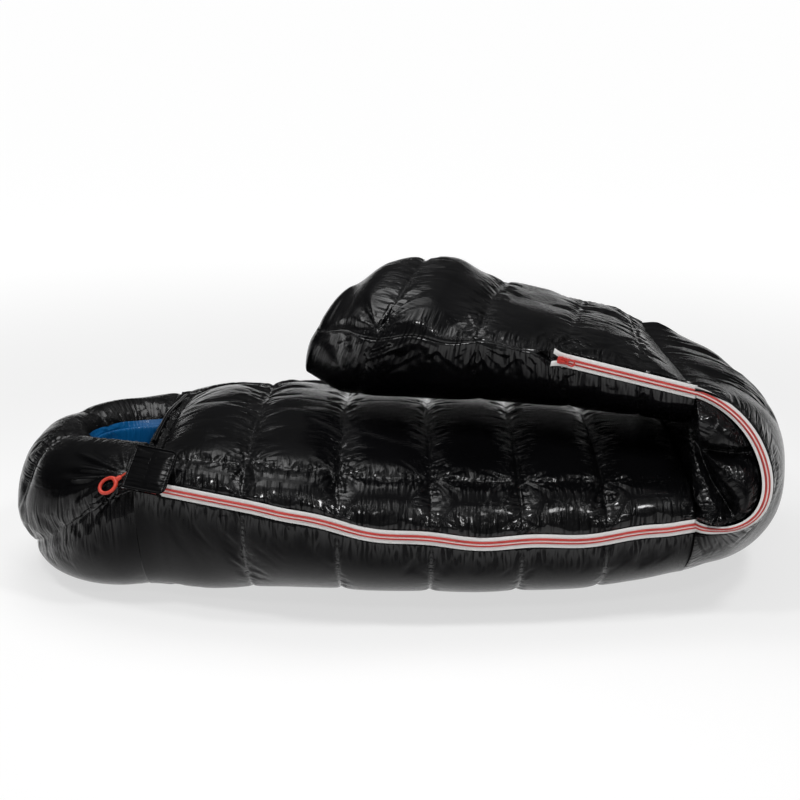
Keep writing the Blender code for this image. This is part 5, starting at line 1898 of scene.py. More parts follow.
@dataclass
class HoodQuilt(Quilt):
    """Hood round the face opening: cheeks, crown, shoulders and the base under the head."""

    name: str = "hood_quilt"
    nodes: tuple[str, ...] = (
        "hood_front_cheek",
        "hood_crown",
        "hood_back_cheek",
        "hood_front_shoulder",
        "hood_back_shoulder",
        "hood_base",
    )
    length: float = 0.236
    half_width: float = 0.278
    top_z: float = 0.252
    back_drop: float = 0.017
    base_z: float = 0.060
    face_radius: Pair = (0.118, 0.116)
    face_y: float = 0.020
    seams: tuple[float, ...] = (0.0, math.pi / 3, 2 * math.pi / 3, math.pi)
    step: float = 0.024
    edge_z: float = 0.216
    edge_drop: float = 0.086
    shoulder_turn: float = math.radians(72.0)
    shoulder_drop: float = 0.152
    shoulder_rows: int = 26
    cheek_rows: int = 22
    sink: float = 0.012
    cheek_width: float = 0.16
    crest: float = 0.60
    rim: float = 0.985
    rim_round: float = 0.032
    border: float = 0.011
    shoulder_swell: float = 0.0115
    seam_depth: float = 0.016
    swell: float = 0.011
    lap: float = 0.0016

    def at(self, turn: Values, w: Values, z: Values, wider: Values = 0.0) -> np.ndarray:
        """Work out points of the hood.

        Args:
            turn: Angle round it, 0 at the front neck edge.
            w: Share from its outside, 0, to its rim, 1.
            z: Height.
            wider: How much wider it is than its half width.

        Returns:
            The points.
        """
        rim_x = self.face_radius[0] * np.sin(turn)
        rim_y = self.face_y - self.face_radius[1] * np.cos(turn)
        x = NECK_X + self.lap - (self.length * np.sin(turn) * (1 - w) + rim_x * w)
        return stacked(x, -(self.half_width + wider) * np.cos(turn) * (1 - w) + rim_y * w, z)

    def in_face(self, turn: Values, share: float, z: float) -> np.ndarray:
        """Return points inside the face opening, share 1 on its rim and 0 at its middle."""
        x = NECK_X - GAP - self.face_radius[0] * np.sin(turn) * share
        return stacked(x, self.face_y - self.face_radius[1] * np.cos(turn) * share, z)

    def top(self, turn: Values) -> np.ndarray:
        """Return the height of the crest, lower along the back side."""
        return self.top_z - self.back_drop * (1.0 - np.cos(turn)) / 2

    def shoulder(self, turn: Values) -> np.ndarray:
        """Return the height of the slanting seam below the cheeks."""
        tip = np.sin(np.minimum(turn, math.pi - turn)) / math.sin(self.shoulder_turn)
        return self.edge_z - self.shoulder_drop * np.minimum(tip, 1.0) ** 1.15

    def grid(self) -> QuiltGrid:
        """Return the hood's cloth: floor, shoulder, cheek, rim, inner wall, base."""
        turn, marks = columns_between(self.seams, self.step)
        across = across_channel(turn, self.seams)
        at_neck = 0.3 + 0.7 * smooth(np.minimum(turn, math.pi - turn), 0.1, 0.5)
        drawn = (self.seam_depth * at_neck * (1.0 - pillow(across)))[:, None]
        turn = turn[:, None]
        tip = np.sin(turn)
        middle, reach, top = self.edge_z - self.edge_drop * tip, 1.36 - 0.40 * tip, self.top(turn)
        fall = middle + self.sink
        floor_lean = np.arcsin(middle / fall)
        seam_lean = np.arcsin((middle - self.shoulder(turn)) / fall)
        below = (
            (floor_lean, seam_lean, self.shoulder_rows), (seam_lean, 0.0 * seam_lean, self.cheek_rows),
        )
        skins = []
        for start, end, count in below:
            share = np.linspace(0.0, 1.0, count + 1)[None, :-1]
            lean = start + (end - start) * share
            near = 1.0 - share if start is floor_lean else share
            border = self.border * bell(near * np.maximum(np.abs(end - start), 0.05), 0.0, 0.10)
            w = reach * (1.0 - np.cos(lean)) + border / self.cheek_width
            wider = self.shoulder_swell * smooth(np.sin(lean), 0.05, 0.40)
            skins.append(self.at(turn, w, middle - fall * np.sin(lean), wider))
        lean = np.linspace(0.0, math.pi / 2, 27)[None, :-1]
        height = middle + (top - middle) * np.sin(lean) - 0.6 * drawn * np.sin(lean)
        seam_in = drawn / self.cheek_width * np.cos(lean) * smooth(lean, 0.0, 0.7)
        skins.append(self.at(turn, self.crest * (1.0 - np.cos(lean)) + seam_in, height))
        roll = np.linspace(0.0, math.pi / 2, 15)[None, :]
        height = top - self.rim_round + (self.rim_round - 0.6 * drawn) * np.cos(roll)
        skins.append(self.at(turn, self.crest + (self.rim - self.crest) * np.sin(roll), height))
        outer = np.concatenate([np.maximum(skin, [-9.0, -9.0, 0.0]) for skin in skins], axis=1)
        rows = outer.shape[1]
        column = turn[:, 0]
        stops = [
            outer[:, -1],
            self.at(column, self.rim, self.base_z + 0.004),
            self.in_face(column, 0.12, self.base_z),
            self.in_face(column, 0.12, 0.0),
            outer[:, 0],
        ]
        points = np.concatenate([outer, walk(stops, [14, 10, 4, 10])[:, 1:]], axis=1)
        return self._sewn(points, marks, rows)

    def _sewn(self, points: np.ndarray, marks: list[int], rows: int) -> QuiltGrid:
        """Pin the seams, limit the swelling and list the sewn lines.

        Args:
            points: Points of the cloth.
            marks: Columns of the cross seams.
            rows: Number of outer rows.

        Returns:
            The grid, ready to swell.
        """
        shape = points.shape[:2]
        row = np.arange(shape[1])
        pinned = np.zeros(shape, bool)
        pinned[:, rows - 1 :] = True
        pinned[:, (0, self.shoulder_rows)] = True
        pinned[marks, 56:] = True
        pinned[(0, -1), :] = True
        pinned |= (points[..., 2] < 0.005) & (row[None, :] < 12)
        reach = np.full(shape, self.swell)
        reach *= 0.1 + 0.9 * smooth(points[..., 2], 0.0, 0.05)
        reach[:, : self.shoulder_rows] *= 0.3
        column = np.arange(shape[0])
        reach[:, :52] *= smooth(np.minimum(column, column[::-1]), 0.0, 14.0)[:, None]
        reach[:, rows - 8 :] *= 0.5
        reach[:, rows - 1 :] = 0.0
        last = shape[0] - 1
        rim = rows - 9
        lines = [
            SewnLine(self.shoulder_rows, 0, last, False, 0.0026, 0.0075, 0.040),
            SewnLine(rim, 0, last, False, 0.0020, 0.0110, 0.030),
        ]
        lines += [SewnLine(mark, 54, rows - 1, True, 0.0022, 0.0080, 0.034) for mark in marks]
        gathers = [Gather((-0.416, -0.262, 0.236), 0.15, 0.0042, 17)]
        grid = QuiltGrid(points, pinned, reach, lines, Noise.HOOD.value, gathers)
        grid.pleats = [Pleat(list(line), height=0.0050, width=0.0055) for line in HOOD_PLEATS]
        grid.lined_rows = (rows - 4, rows + 24)
        return grid


@dataclass
class Lining(Quilt):
    """A thin lining or tube, drawn in its final form."""

    pressure: float = 0.0
    lump: float = 0.0
    fill: float = 0.3


@dataclass
class HoodLining(Lining):
    """Blue lining wall inside the face opening."""

    hood: HoodQuilt = field(default_factory=HoodQuilt)
    name: str = "hood_lining_wall"
    nodes: tuple[str, ...] = ("hood_lining",)
    seams: tuple[float, ...] = (0.02, math.pi / 3, 2 * math.pi / 3, math.pi - 0.02)
    puff: float = 0.020
    rows: int = 22

    def grid(self) -> QuiltGrid:
        """Return the wall: a thin padded band between base and rim."""
        turn, marks = columns_between(self.seams, 0.03)
        puff = self.puff * pillow(across_channel(turn, self.seams))
        turn, puff = turn[:, None], puff[:, None]
        low = self.hood.base_z + 3 * GAP
        tall = self.hood.top(turn) - self.hood.rim_round - low
        share = np.linspace(0.0, 1.0, self.rows)[None, :]
        face = self.hood.at(turn, 1.03 + puff * pillow(share), low + tall * share)
        back = self.hood.at(turn, 1.0, low + tall * share[:, ::-1])
        points = np.concatenate([face, back], axis=1)
        grid = plain_grid(points, Noise.HOOD.value + 3)
        grid.reach = np.full(points.shape[:2], 0.006)
        grid.reach[:, self.rows :] = 0.0
        rim, last = self.rows - 1, points.shape[0] - 1
        grid.lines = [SewnLine(mark, 0, rim, True, 0.0012, 0.009, 0.03) for mark in marks]
        grid.lines.append(SewnLine(rim, 0, last, False, 0.0016, 0.009, 0.03))
        return grid


@dataclass
class HollowLining(Lining):
    """Blue lining on the roof or the floor of the hollow."""

    torso: TorsoQuilt = field(default_factory=TorsoQuilt)
    on_roof: bool = False
    thick: float = 0.0018
    side_room: float = 0.040
    puff: float = 0.004
    rows: int = 40

    def grid(self) -> QuiltGrid:
        """Return the lining: a thin sheet with shallow channels."""
        seams = (NECK_X + 0.002, *self.torso.seams[1:-1], FOLD_X - 0.003)
        x, marks = columns_between(seams, 0.012)
        half = (self.torso.hollow_half(x) - self.side_room)[:, None]
        share = np.linspace(-1.0, 1.0, self.rows)[None, :]
        floor = np.full_like(x, self.torso.hollow_floor + GAP)
        face = (TORSO_SIZES.at(x, 4) - GAP if self.on_roof else floor)[:, None]
        sign = -1.0 if self.on_roof else 1.0
        swell = self.puff * pillow(across_channel(x, seams))[:, None] * pillow((share + 1) / 2, 4.0)
        first = stacked(x[:, None], half * share, face)
        second = stacked(x[:, None], half * share, face + sign * (self.thick + swell))
        points = np.concatenate([first, second[:, ::-1]], axis=1)
        grid = plain_grid(points, Noise.HOOD.value + 5)
        first, last = self.rows + 1, 2 * self.rows - 1
        grid.reach[:, first:last] = 0.006
        grid.lines = [SewnLine(mark, first, last - 1, True, 0.0010, 0.010, 0.03) for mark in marks]
        return grid


@dataclass
class DraftTube(Quilt):
    """Stuffed tube that lies behind the zip."""

    torso: TorsoQuilt = field(default_factory=TorsoQuilt)
    name: str = "draft_tube_pad"
    nodes: tuple[str, ...] = ("draft_tube",)
    columns: int = 140
    rows: int = 18
    behind: float = 0.018
    below: float = 0.010
    half_thick: float = 0.013
    half_high: float = 0.016
    pressure: float = 0.0
    lump: float = 0.0

    def grid(self) -> QuiltGrid:
        """Return the tube along the zip's inner side."""
        x = np.linspace(NECK_X + 0.030, FOLD_X - 0.004, self.columns)
        turn = round_turns(self.rows)[None, :]
        y = (self.behind - self.torso.hollow_half(x))[:, None] + self.half_thick * np.cos(turn)
        z = (self.torso.split_z(x, 0.0) - self.below)[:, None] + self.half_high * np.sin(turn)
        grid = plain_grid(stacked(x[:, None], y, z), Noise.HOOD.value + 9)
        grid.reach[:] = 0.003
        grid.lines = [SewnLine(self.rows // 2, 0, self.columns - 1, False, 0.0010, 0.009, 0.03)]
        return grid


Frames = tuple[np.ndarray, np.ndarray, np.ndarray]


@dataclass
class SideZip:
    """Two-way side zip: tapes, coils and sliders."""

    torso: TorsoQuilt
    legs: LegQuilt
    edge: float = 0.0104
    slit: float = 0.0020
    fold_edge: float = 0.0088
    thick: float = 0.0012
    selvedge: float = 0.0005
    coil_half: float = 0.0044
    coil_high: float = 0.0024
    coil_lift: float = 0.0004
    coil_x: Pair = (-0.383, 0.251)
    tooth: float = 0.0016
    splay: float = 0.0045
    splay_x: float = 0.252
    splay_run: float = 0.018
    fold_lift: float = 0.004
    bend_z: Pair = (0.17, 0.385)

    @staticmethod
    def frames(line: np.ndarray) -> Frames:
        """Work out directions along the front side.

        Args:
            line: Points that the zip follows.

        Returns:
            The points, their width directions and their outward directions.
        """
        along = np.gradient(line, axis=0)
        along /= np.linalg.norm(along, axis=1, keepdims=True)
        width = np.array(UP) - along * along[:, 2:3]
        width /= np.linalg.norm(width, axis=1, keepdims=True)
        return line, width, np.cross(along, width)

    def fold_frames(self, degrees: np.ndarray) -> Frames:
        """Work out the zip's frames on the fold, with its width along the radius.

        Args:
            degrees: Angles round the fold.

        Returns:
            The points, their width directions and their outward directions.
        """
        near_end = smooth(np.abs(degrees), 50.0, 90.0)
        across = -FOLD_SIZES.at(degrees, 3) - self.fold_lift + (TAPE_DEPTH + self.fold_lift) * near_end
        line = fold_at(degrees, FOLD_SIZES.at(degrees, 1), across)
        angle = np.radians(degrees)
        width = np.stack([np.cos(angle), 0 * angle, np.sin(angle)], -1)
        return line, width, np.broadcast_to([0.0, -1.0, 0.0], line.shape)

    @staticmethod
    def strip(frames: Frames, across: np.ndarray, out: np.ndarray) -> QuiltGrid:
        """Lay a cross-section along the zip.

        Args:
            frames: Points and directions along it.
            across: Places across it, for each column or for all.
            out: Heights off it.

        Returns:
            The strip.
        """
        line, width, outward = frames
        points = line[:, None] + width[:, None] * across[..., None] + outward[:, None] * out[..., None]
        return plain_grid(points)

    def tape(self, name: str, frames: Frames, low: Values, high: Values, materials: list) -> Object:
        """Make one tape with rounded selvedges.

        Args:
            name: Name of the piece.
            frames: Points and directions along it.
            low: Place of its lower edge across the zip.
            high: Place of its upper edge.
            materials: Its material, and a second one for its covered head end.

        Returns:
            The tape.
        """
        turn = np.radians((-90.0, -45.0, 0.0, 45.0, 90.0))
        hem = self.selvedge
        round_x, round_z = hem * np.cos(turn), self.thick / 2 * (1.0 + np.sin(turn))
        low, high = (np.broadcast_to(np.asarray(side), len(frames[0]))[:, None] for side in (low, high))
        across = np.concatenate([high - hem + round_x, low + hem - round_x[::-1]], axis=1)
        out = np.broadcast_to(np.concatenate([round_z, round_z[::-1]]), across.shape)
        grid = self.strip(frames, across, out)
        piece = grid.to_object(name, materials[:1])
        if len(materials) > 1:
            piece.data.materials.append(materials[1])
            under = (frames[0][:-1, 0] < self.torso.cover_x + SHIFT_X + 0.004).repeat(across.shape[1])
            chosen = np.zeros(len(piece.data.polygons), np.int32)
            chosen[: len(under)] = under
            piece.data.polygons.foreach_set("material_index", chosen)
        return piece

    def coil(self, name: str, frames: Frames, material: Material) -> Object:
        """Make the closed coil: two rows of ridged strands side by side.

        Args:
            name: Name of the piece.
            frames: Points and directions along it.
            material: Material of the strands.

        Returns:
            The coil.
        """
        line = frames[0]
        run = np.concatenate([[0.0], np.cumsum(np.linalg.norm(np.diff(line, axis=0), axis=1))])
        share = np.linspace(1.0, -1.0, 15)
        hump = np.sqrt(np.maximum(1.0 - ((np.abs(share) - 0.5) / 0.5) ** 2, 0.0))
        phase = np.where(share > 0, 0.0, 0.5)
        ridge = 0.72 + 0.28 * np.cos(2 * math.pi * (run[:, None] / self.tooth + phase[None, :]))
        top = self.thick + self.coil_lift + self.coil_high * hump[None, :] * ridge
        across = np.broadcast_to(self.coil_half * share, top.shape)
        grid = self.strip(frames, across, top)
        piece = grid.to_object(name, [material])
        self._across_map(piece, across, run)
        return piece

    @staticmethod
    def _across_map(piece: Object, across: np.ndarray, run: np.ndarray) -> None:
        """Write the distance across the coil and along it into the piece's map.

        Args:
            piece: The coil.
            across: Distances across it.
            run: Distances along it.
        """
        mesh = piece.data
        vertex = np.empty(len(mesh.loops), np.int32)
        mesh.loops.foreach_get("vertex_index", vertex)
        flat = np.stack([np.repeat(run, across.shape[1]), across.ravel()], -1)
        mesh.uv_layers["cloth"].data.foreach_set("uv", flat[vertex].astype(np.float32).ravel())

    def build(self, finishes: Finishes) -> None:
        """Make every tape and coil, and paint the sliders."""
        end = FOLD_X + GAP
        torso_x, leg_x = np.linspace(ZIP_HEAD_X, end, 430), np.linspace(ZIP_FOOT_X, end, 120)
        splay = self.splay * np.clip((self.splay_x - leg_x) / self.splay_run, 0.0, 1.0) ** 2
        for name, body, frames, open_by in (
            ("torso", Body.TORSO, self.frames(self.torso.zip_line(torso_x)), np.zeros_like(torso_x)),
            ("leg", Body.LEGS, self.frames(self.legs.zip_line(leg_x)), splay),
        ):
            for side, sign in (("upper", 1.0), ("lower", -1.0)):
                low, high = sorted((sign * self.slit, sign * self.edge))
                node, moved = f"zip_tape_{side}_{name}", sign * open_by
                dressed = [finishes.tape, finishes.trim]
                tape = self.tape(f"{node}_woven", frames, low + moved, high + moved, dressed)
                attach(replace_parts(tape, node), body.value)
        fold = self.fold_frames(np.linspace(-90.0, 90.0, 140))
        tape = self.tape("zip_tape_fold_woven", fold, -self.fold_edge, self.fold_edge, [finishes.tape])
        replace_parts(tape, "zip_tape_fold")
        self.bend(tape)
        torso_x, leg_x = (np.linspace(x, end, count) for x, count in zip(self.coil_x, (2200, 560)))
        stretches = (
            ("torso", Body.TORSO, self.frames(self.torso.zip_line(torso_x))),
            ("leg", Body.LEGS, self.frames(self.legs.zip_line(leg_x))),
            ("fold", None, self.fold_frames(np.linspace(-90.0, 90.0, 760))),
        )
        for name, body, frames in stretches:
            coil = self.coil(f"zip_coil_{name}_strands", frames, finishes.coil)
            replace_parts(coil, f"zip_coil_{name}")
            if body is None:
                self.bend(coil)
            else:
                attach(coil, body.value)
            LOG.info("%s: closed coil", coil.name)
        for node in ("foot_slider_body", "foot_slider_pull", "head_slider_body", "head_slider_pull"):
            paint(node, finishes.slider)

    def bend(self, piece: Object) -> None:
        """Bake a piece of the fold's placement into its mesh."""
        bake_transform(piece)


def paint(node: str, material: Material) -> None:
    """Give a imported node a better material.

    Args:
        node: Name of the node.
        material: The material.
    """
    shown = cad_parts[node]
    for place in shown.material_slots:
        place.material = material
    LOG.info("%s: finish %s", node, material.name)


class FlapFrame:
    """Corner and directions of the chin flap, from the zip's head end."""

    from_head: float = 0.030
    lean: float = math.radians(40.0)
    corner_at: Point = (-0.056, -0.014, 0.0165)
    mouth_at: Point = (-0.058, 0.014, 0.0085)
    cord_way: Point = (-0.68, -0.73, -0.05)

    def __init__(self, torso: TorsoQuilt) -> None:
        """Read the zip's direction near its head end."""
        line = torso.zip_line(ZIP_HEAD_X + self.from_head + np.array((-0.001, 0.0, 0.001)))
        along = Vector(line[2] - line[0]).normalized()
        width = (UP - along * along.z).normalized()
        outward = along.cross(width)
        self.rise = (width * math.cos(self.lean) - outward * math.sin(self.lean)).normalized()
        self.face = (outward * math.cos(self.lean) + width * math.sin(self.lean)).normalized()
        self.along = self.rise.cross(self.face)
        self.corner = self._moved(line[1], self.corner_at)
        self.mouth = self._moved(line[1], self.mouth_at)
        self.out = self._moved((0.0, 0.0, 0.0), self.cord_way).normalized()

    def _moved(self, point: Sequence[float], by: Point) -> Vector:
        """Return a point moved along the flap, up it and off its face."""
        return Vector(point) + self.along * by[0] + self.rise * by[1] + self.face * by[2]

    def at(self, along: Values, rise: Values, lift: Values) -> np.ndarray:
        """Work out points from the flap's own coordinates.

        Args:
            along: Distance along the flap from its corner.
            rise: Distance up it.
            lift: Distance off its face.

        Returns:
            The points.
        """
        along, rise, lift = (part[..., None] for part in np.broadcast_arrays(along, rise, lift))
        flat = np.array(self.corner) + along * np.array(self.along) + rise * np.array(self.rise)
        return flat + lift * np.array(self.face)


def beads(
    name: str, places: np.ndarray, along: np.ndarray, out: np.ndarray, material: Material
) -> Object:
    """Make a row of stitches, each a short bead of thread.

    Args:
        name: Name of the piece.
        places: Middle of each stitch.
        along: Direction of each stitch, as long as half the stitch.
        out: Direction away from the cloth, as long as the thread's radius.
        material: Material of the thread.

    Returns:
        The new piece.
    """
    side = np.cross(along, out)
    side *= np.linalg.norm(out, axis=1, keepdims=True) / np.linalg.norm(side, axis=1, keepdims=True)
    points, faces = [], []
    for place, ahead, away, wide in zip(places, along, out, side):
        base = len(points)
        for reach, size in ((-1.0, 0.45), (-0.6, 1.0), (0.6, 1.0), (1.0, 0.45)):
            for turn in round_turns(6):
                spoke = away * math.cos(turn) + wide * math.sin(turn)
                points.append(place + ahead * reach + size * spoke)
        for ring in range(3):
            for k in range(6):
                low, high = base + 6 * ring, base + 6 * (ring + 1)
                faces.append((low + k, high + k, high + (k + 1) % 6, low + (k + 1) % 6))
        faces += [tuple(range(base, base + 6)), tuple(range(base + 23, base + 17, -1))]
    mesh = bpy.data.meshes.new(name)
    mesh.from_pydata([tuple(p) for p in points], [], faces)
    mesh.materials.append(material)
    mesh.polygons.foreach_set("use_smooth", np.ones(len(mesh.polygons), bool))
    return linked(name, mesh)


@dataclass
class ChinFlap:
    """Soft flap over the zip's head end, bound and stitched, with a hook patch."""

    where: FlapFrame
    width: float = 0.076
    height: float = 0.073
    thick: float = 0.003
    trim: float = 0.0118
    sewn_edge: float = 0.002
    puff: float = 0.0016
    hem: float = 0.0012
    hem_high: float = 0.0007
    dent: float = 0.0006
    stitch_step: float = 0.0036
    cells: int = 56

    def build(self, finishes: Finishes) -> None:
        """Make the flap, its stitches and the patch's finish."""
        share = np.linspace(0.0, 1.0, self.cells)
        along = self.sewn_edge + (self.width - self.sewn_edge) * share
        near_end = np.clip((along - (self.width - self.trim)) / self.trim, 0.0, 1.0)
        cut = self.trim * (1.0 - np.sqrt(1.0 - np.minimum(near_end, 0.999) ** 2))[:, None]
        across = share[None, :]
        rise = cut + (self.height - 2 * cut) * across
        edge = np.minimum(share, 1 - share)
        edge = np.minimum(edge[:, None], edge[None, :]) * self.width
        puff = self.puff * smooth(edge, 0.004, 0.020) + self.hem_high * bell(edge, self.hem, self.hem)
        dent = self.dent * bell(edge, 0.0040, 0.0010)
        round_edge = self.thick / 2 * np.sqrt(1.0 - np.clip(1.0 - edge / self.hem, 0.0, 1.0) ** 2)
        face = self.where.at(along[:, None], rise, self.thick / 2 + round_edge + puff - dent)
        back = self.where.at(along[:, None], rise, self.thick / 2 - round_edge)
        points = np.concatenate([face, back[:, ::-1]], axis=1)
        grid = plain_grid(points, Noise.FLAP.value)
        last = self.cells - 4
        grid.reach[:, 4:last] = 0.004
        grid.lines = [SewnLine(column, 3, last, True, 0.0008, 0.0060, 0.012) for column in (3, last)]
        marks = grid.pucker()
        flap = grid.to_object("chin_flap_cloth", [finishes.trim], marks)
        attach(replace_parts(flap, "chin_flap"), Body.FLAP.value)
        self._stitch(finishes)
        paint("flap_hook_patch", finishes.hook)
        LOG.info("chin_flap_cloth: %d points", len(flap.data.vertices))

    def _stitch(self, finishes: Finishes) -> None:
        """Sew a row of stitches along the flap's two side edges."""
        steps = np.arange(0.006, self.height - 0.006, self.stitch_step)
        sides = (0.0062, self.width - 0.0046)
        places = np.concatenate([self.where.at(side, steps, self.thick + 0.0006) for side in sides])
        along = np.broadcast_to(np.array(self.where.rise) * 0.0012, places.shape)
        out = np.broadcast_to(np.array(self.where.face) * 0.00045, places.shape)
        row = beads("chin_flap_stitches", places, along, out, finishes.thread)
        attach(row, Body.FLAP.value)


@dataclass
class Drawcord:
    """Drawcord of the hood, the sleeve it comes out of and its pull ring."""

    where: FlapFrame
    radius: float = 0.0016
    ring_radius: float = 0.0140
    ring_wire: float = 0.0032
    tail: float = 0.047
    lead: float = 0.0172
    exit_depth: float = 0.0185
    ring_from: float = 0.022
    ring_flat: float = 0.82
    ring_thicker: float = 0.30
    sleeve_length: float = 0.050
    sleeve_radius: float = 0.0044
    sleeve_bore: float = 0.0022

    def _round(self, stops: np.ndarray, sizes: np.ndarray, sides: int) -> np.ndarray:
        """Lay rings of points along the cord's line.

        Args:
            stops: Distances from the sleeve's mouth.
            sizes: Radius of each ring.
            sides: Points of each ring.

        Returns:
            The points, ring by ring.
        """
        where = self.where
        across = where.out.cross(where.face).normalized()
        up = across.cross(where.out)
        turn = round_turns(sides)
        circle = np.cos(turn)[:, None] * np.array(across) + np.sin(turn)[:, None] * np.array(up)
        line = np.array(where.mouth) + stops[:, None] * np.array(where.out)
        return line[:, None] + sizes[:, None, None] * circle[None]

    def build_cord(self, finishes: Finishes, ring: Object) -> None:
        """Make the cord itself, with the ring on its end.

        Args:
            finishes: Finishes of the bag.
            ring: The pull ring; not used.
        """
        stops = np.linspace(-self.tail, self.lead, 48)
        grid = plain_grid(self._round(stops, np.full(48, self.radius), 14))
        cord = grid.to_object("drawcord_line", [finishes.cord])
        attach(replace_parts(cord, "drawcord"), Body.CORD.value)
        LOG.info("drawcord_line: %.3f m", self.tail + self.lead)

    def build_ring(self, finishes: Finishes) -> Object:
        """Make the moulded ring and the barrel that grips the cord.

        Args:
            finishes: Finishes of the bag.

        Returns:
            The ring.
        """
        where = self.where
        out, face = np.array(where.out), np.array(where.face)
        across = np.array(where.out.cross(where.face).normalized())
        centre = np.array(where.mouth) + out * (self.ring_from + self.ring_radius)
        turn = round_turns(72)[:, None]
        spoke = out * np.cos(turn) + across * np.sin(turn) * self.ring_flat
        wire = self.ring_wire * (1.0 + self.ring_thicker * np.maximum(0.0, -np.cos(turn)) ** 6)
        section = round_turns(20)[None, :]
        wide = self.ring_radius + wire * np.cos(section) * 0.94
        points = centre + spoke[:, None] * wide[..., None] + face * (wire * np.sin(section))[..., None]
        ring = plain_grid(points, looped=True).to_object("drawcord_ring_moulding", [finishes.ring])
        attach(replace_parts(ring, "drawcord_pull_ring"), Body.CORD.value)
        stops = np.array((0.0110, 0.0112, 0.0120, 0.0140, 0.0160, 0.0180, 0.0200, 0.0206))
        sizes = np.array((0.0020, 0.0027, 0.0031, 0.0034, 0.0036, 0.0038, 0.0040, 0.0030))
        barrel = plain_grid(self._round(stops, sizes, 24))
        barrel = barrel.to_object("drawcord_ring_barrel", [finishes.ring])
        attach(barrel, Body.CORD.value)
        LOG.info("drawcord_ring_moulding: ring and barrel")
        return ring

    def build_sleeve(self, finishes: Finishes) -> None:
        """Make the gathered sleeve that the cord runs in."""
        stops = np.linspace(0.0, -self.sleeve_length, 40)
        gathers = 1.0 + 0.05 * np.sin(stops * 900.0)
        outer = self._round(stops, self.sleeve_radius * gathers, 28)
        bore = self._round(stops[::-1], np.full(40, self.sleeve_bore), 28)
        points = np.concatenate([outer, bore]).swapaxes(0, 1)
        sleeve = plain_grid(points, looped=True).to_object("drawcord_sleeve_cloth", [finishes.trim])
        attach(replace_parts(sleeve, "drawcord_sleeve"), Body.TORSO.value)
        LOG.info("drawcord_sleeve_cloth: gathered sleeve")


@dataclass
class NeckBinding:
    """Bound edge over the neck with its stitches."""

    radius: float = 0.0036
    lift: float = 0.0024
    from_neck: float = 0.012
    drop: float = 0.003
    far_drop: float = 0.011
    stations: int = 160

    def build(self, finishes: Finishes) -> None:
        """Make the binding and a row of stitches beside it."""
        angle = np.linspace(math.radians(62.0), math.radians(150.0), self.stations)
        line = torso_skin(np.full_like(angle, NECK_X + self.from_neck), angle, -self.lift)
        line[:, 2] -= self.drop + self.far_drop * smooth(angle, 1.5, 2.3)
        along = np.gradient(line, axis=0)
        along /= np.linalg.norm(along, axis=1, keepdims=True)
        across = np.broadcast_to([1.0, 0.0, 0.0], line.shape)
        up = np.cross(across, along)
        turn = round_turns(18)[None, :, None]
        circle = across[:, None] * np.cos(turn) + up[:, None] * np.sin(turn)
        size = self.radius * (1.0 + 0.04 * np.sin(np.arange(self.stations) * 1.7))[:, None, None]
        piece = plain_grid(line[:, None] + circle * size).to_object("neck_piping", [finishes.trim])
        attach(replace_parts(piece, "neck_binding"), Body.TORSO.value)
        out = (up * np.sign(up[:, 2:3]))[::2]
        row = line[::2] + across[::2] * self.radius * 0.62 + out * self.radius * 0.80
        stitches = beads("neck_piping_stitches", row, along[::2] * 0.0013, out * 0.0005, finishes.thread)
        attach(stitches, Body.TORSO.value)
        LOG.info("neck_piping: bound edge")


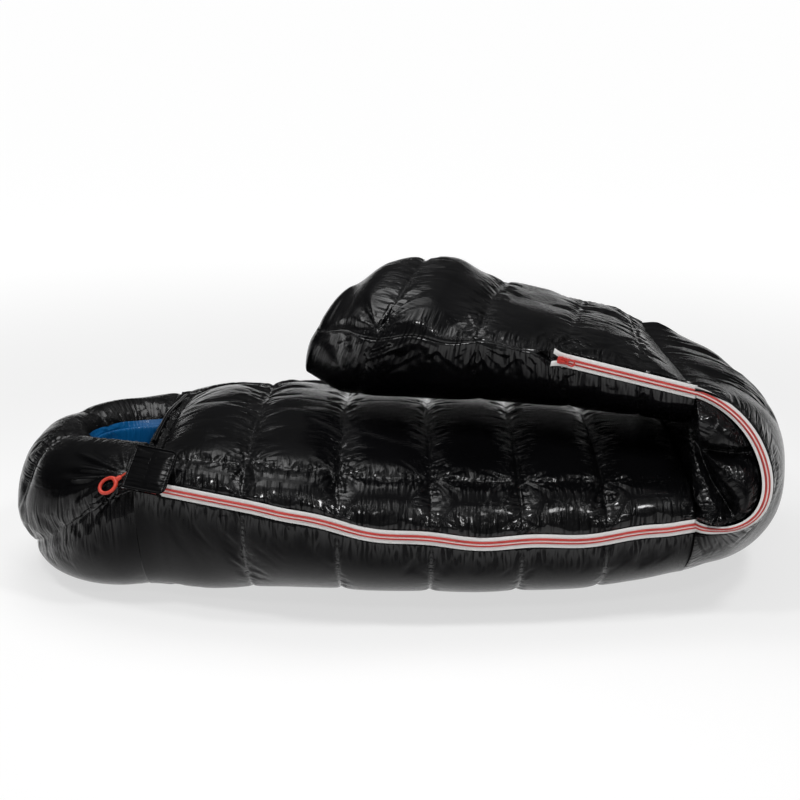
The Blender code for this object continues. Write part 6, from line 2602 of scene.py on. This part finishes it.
@dataclass
class Studio:
    """Floor, lights, world and camera."""

    sun_energy: float = 0.20
    sun_angle: float = 60.0
    back_wall: float = 0.05
    ceiling: float = 0.20
    front_wall: float = 0.10
    lens: float = 68.8
    eye: Point = (SHIFT_X, -2.5114, 0.9579)
    pitch: float = math.radians(75.0)
    target: Point = (0.0, 0.0, 0.2)
    sun_place: Point = (-0.9, -0.5, 2.4)
    floor_size: float = 900.0
    lamps: tuple = (
        ("softbox_overhead", (-0.42, 0.22, 1.60), 1.00, 10.0),
        ("softbox_left", (-0.95, -1.35, 2.30), 0.36, 18.0),
        ("softbox_right", (1.00, -1.30, 2.25), 0.36, 19.0),
        ("softbox_front", (0.55, -2.30, 1.75), 0.26, 7.0),
    )

    def camera(self) -> None:
        """Put the camera at the photograph's angle."""
        data = bpy.data.cameras.new("camera")
        data.lens = self.lens
        data.sensor_width = 36.0
        data.clip_end = 600.0
        camera = linked("camera", data)
        camera.location = self.eye
        camera.rotation_euler = (self.pitch, 0.0, 0.0)
        bpy.context.scene.camera = camera

    def floor(self, finishes: Finishes) -> None:
        """Lay a wide pale floor under the bag."""
        bpy.ops.object.select_all(action="DESELECT")
        bpy.ops.mesh.primitive_plane_add(size=self.floor_size, location=(0.0, 0.0, 0.0))
        plane = bpy.context.object
        plane.name = "studio_floor"
        plane.data.materials.append(finishes.floor)

    def light(self) -> None:
        """Light the bag softly from above, with softboxes for the sheen and the glints."""
        scene = bpy.context.scene
        scene.view_settings.view_transform = "Standard"
        scene.world = self.room()
        sky = bpy.data.lights.new("overhead", "SUN")
        sky.energy = self.sun_energy
        sky.angle = math.radians(self.sun_angle)
        self._aim(sky, self.sun_place)
        for name, place, size, power in self.lamps:
            lamp = bpy.data.lights.new(name, "AREA")
            lamp.size = size
            lamp.energy = power
            self._aim(lamp, place)

    def room(self) -> World:
        """Return a soft studio room: pale overhead and in front, dim towards the back."""
        world = bpy.data.worlds.new("studio")
        world.use_nodes = True
        sketch = NodeSketch(world.node_tree)
        split = sketch.add("SeparateXYZ", i0=sketch.add("TexCoord").outputs["Generated"])
        above = sketch.ramp(split.outputs[2], 0.35, 0.85)
        ahead = sketch.ramp(sketch.math("MULTIPLY", split.outputs[1], -1.0), 0.2, 0.9)
        level = sketch.math("MULTIPLY_ADD", above, self.ceiling, self.back_wall)
        level = sketch.math("MULTIPLY_ADD", ahead, self.front_wall, level)
        level = sketch.math("MAXIMUM", level, sketch.add("LightPath").outputs["Is Camera Ray"])
        shade = world.node_tree.nodes["Background"]
        sketch.feed(shade.inputs["Color"], level)
        return world

    def _aim(self, data: Light, place: Point) -> None:
        """Place a lamp and turn it to the bag's middle."""
        lamp = linked(data.name, data)
        lamp.location = place
        lamp.rotation_euler = (Vector(self.target) - Vector(place)).to_track_quat("-Z", "Y").to_euler()


def main() -> None:
    """Build and dress the bag, then light it."""
    logging.basicConfig(level=logging.INFO, format="%(name)s %(message)s")
    studio = Studio()
    studio.camera()
    finishes = Finishes()
    torso, legs, hood = TorsoQuilt(), LegQuilt(), HoodQuilt()
    flap = FlapFrame(torso)
    cord = Drawcord(flap)
    cord.build_cord(finishes, cord.build_ring(finishes))
    cord.build_sleeve(finishes)
    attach(torso.build([finishes.shell, finishes.lining]), Body.TORSO.value)
    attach(legs.build([finishes.shell]), Body.LEGS.value)
    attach(hood.build([finishes.shell, finishes.lining]), Body.TORSO.value)
    side_zip = SideZip(torso, legs)
    for layer in (FoldOuterQuilt(), FoldInnerQuilt()):
        side_zip.bend(layer.build([finishes.shell]))
    linings = (
        HoodLining(hood=hood),
        HollowLining(torso=torso, name="hollow_floor_lining", nodes=("lining_floor",)),
        HollowLining(torso=torso, name="hollow_roof_lining", nodes=("lining_roof",), on_roof=True),
        DraftTube(torso=torso),
    )
    for lining in linings:
        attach(lining.build([finishes.lining], Slot.LINING), Body.TORSO.value)
    side_zip.build(finishes)
    ChinFlap(flap).build(finishes)
    NeckBinding().build(finishes)
    studio.floor(finishes)
    studio.light()


if __name__ == "__main__":
    main()
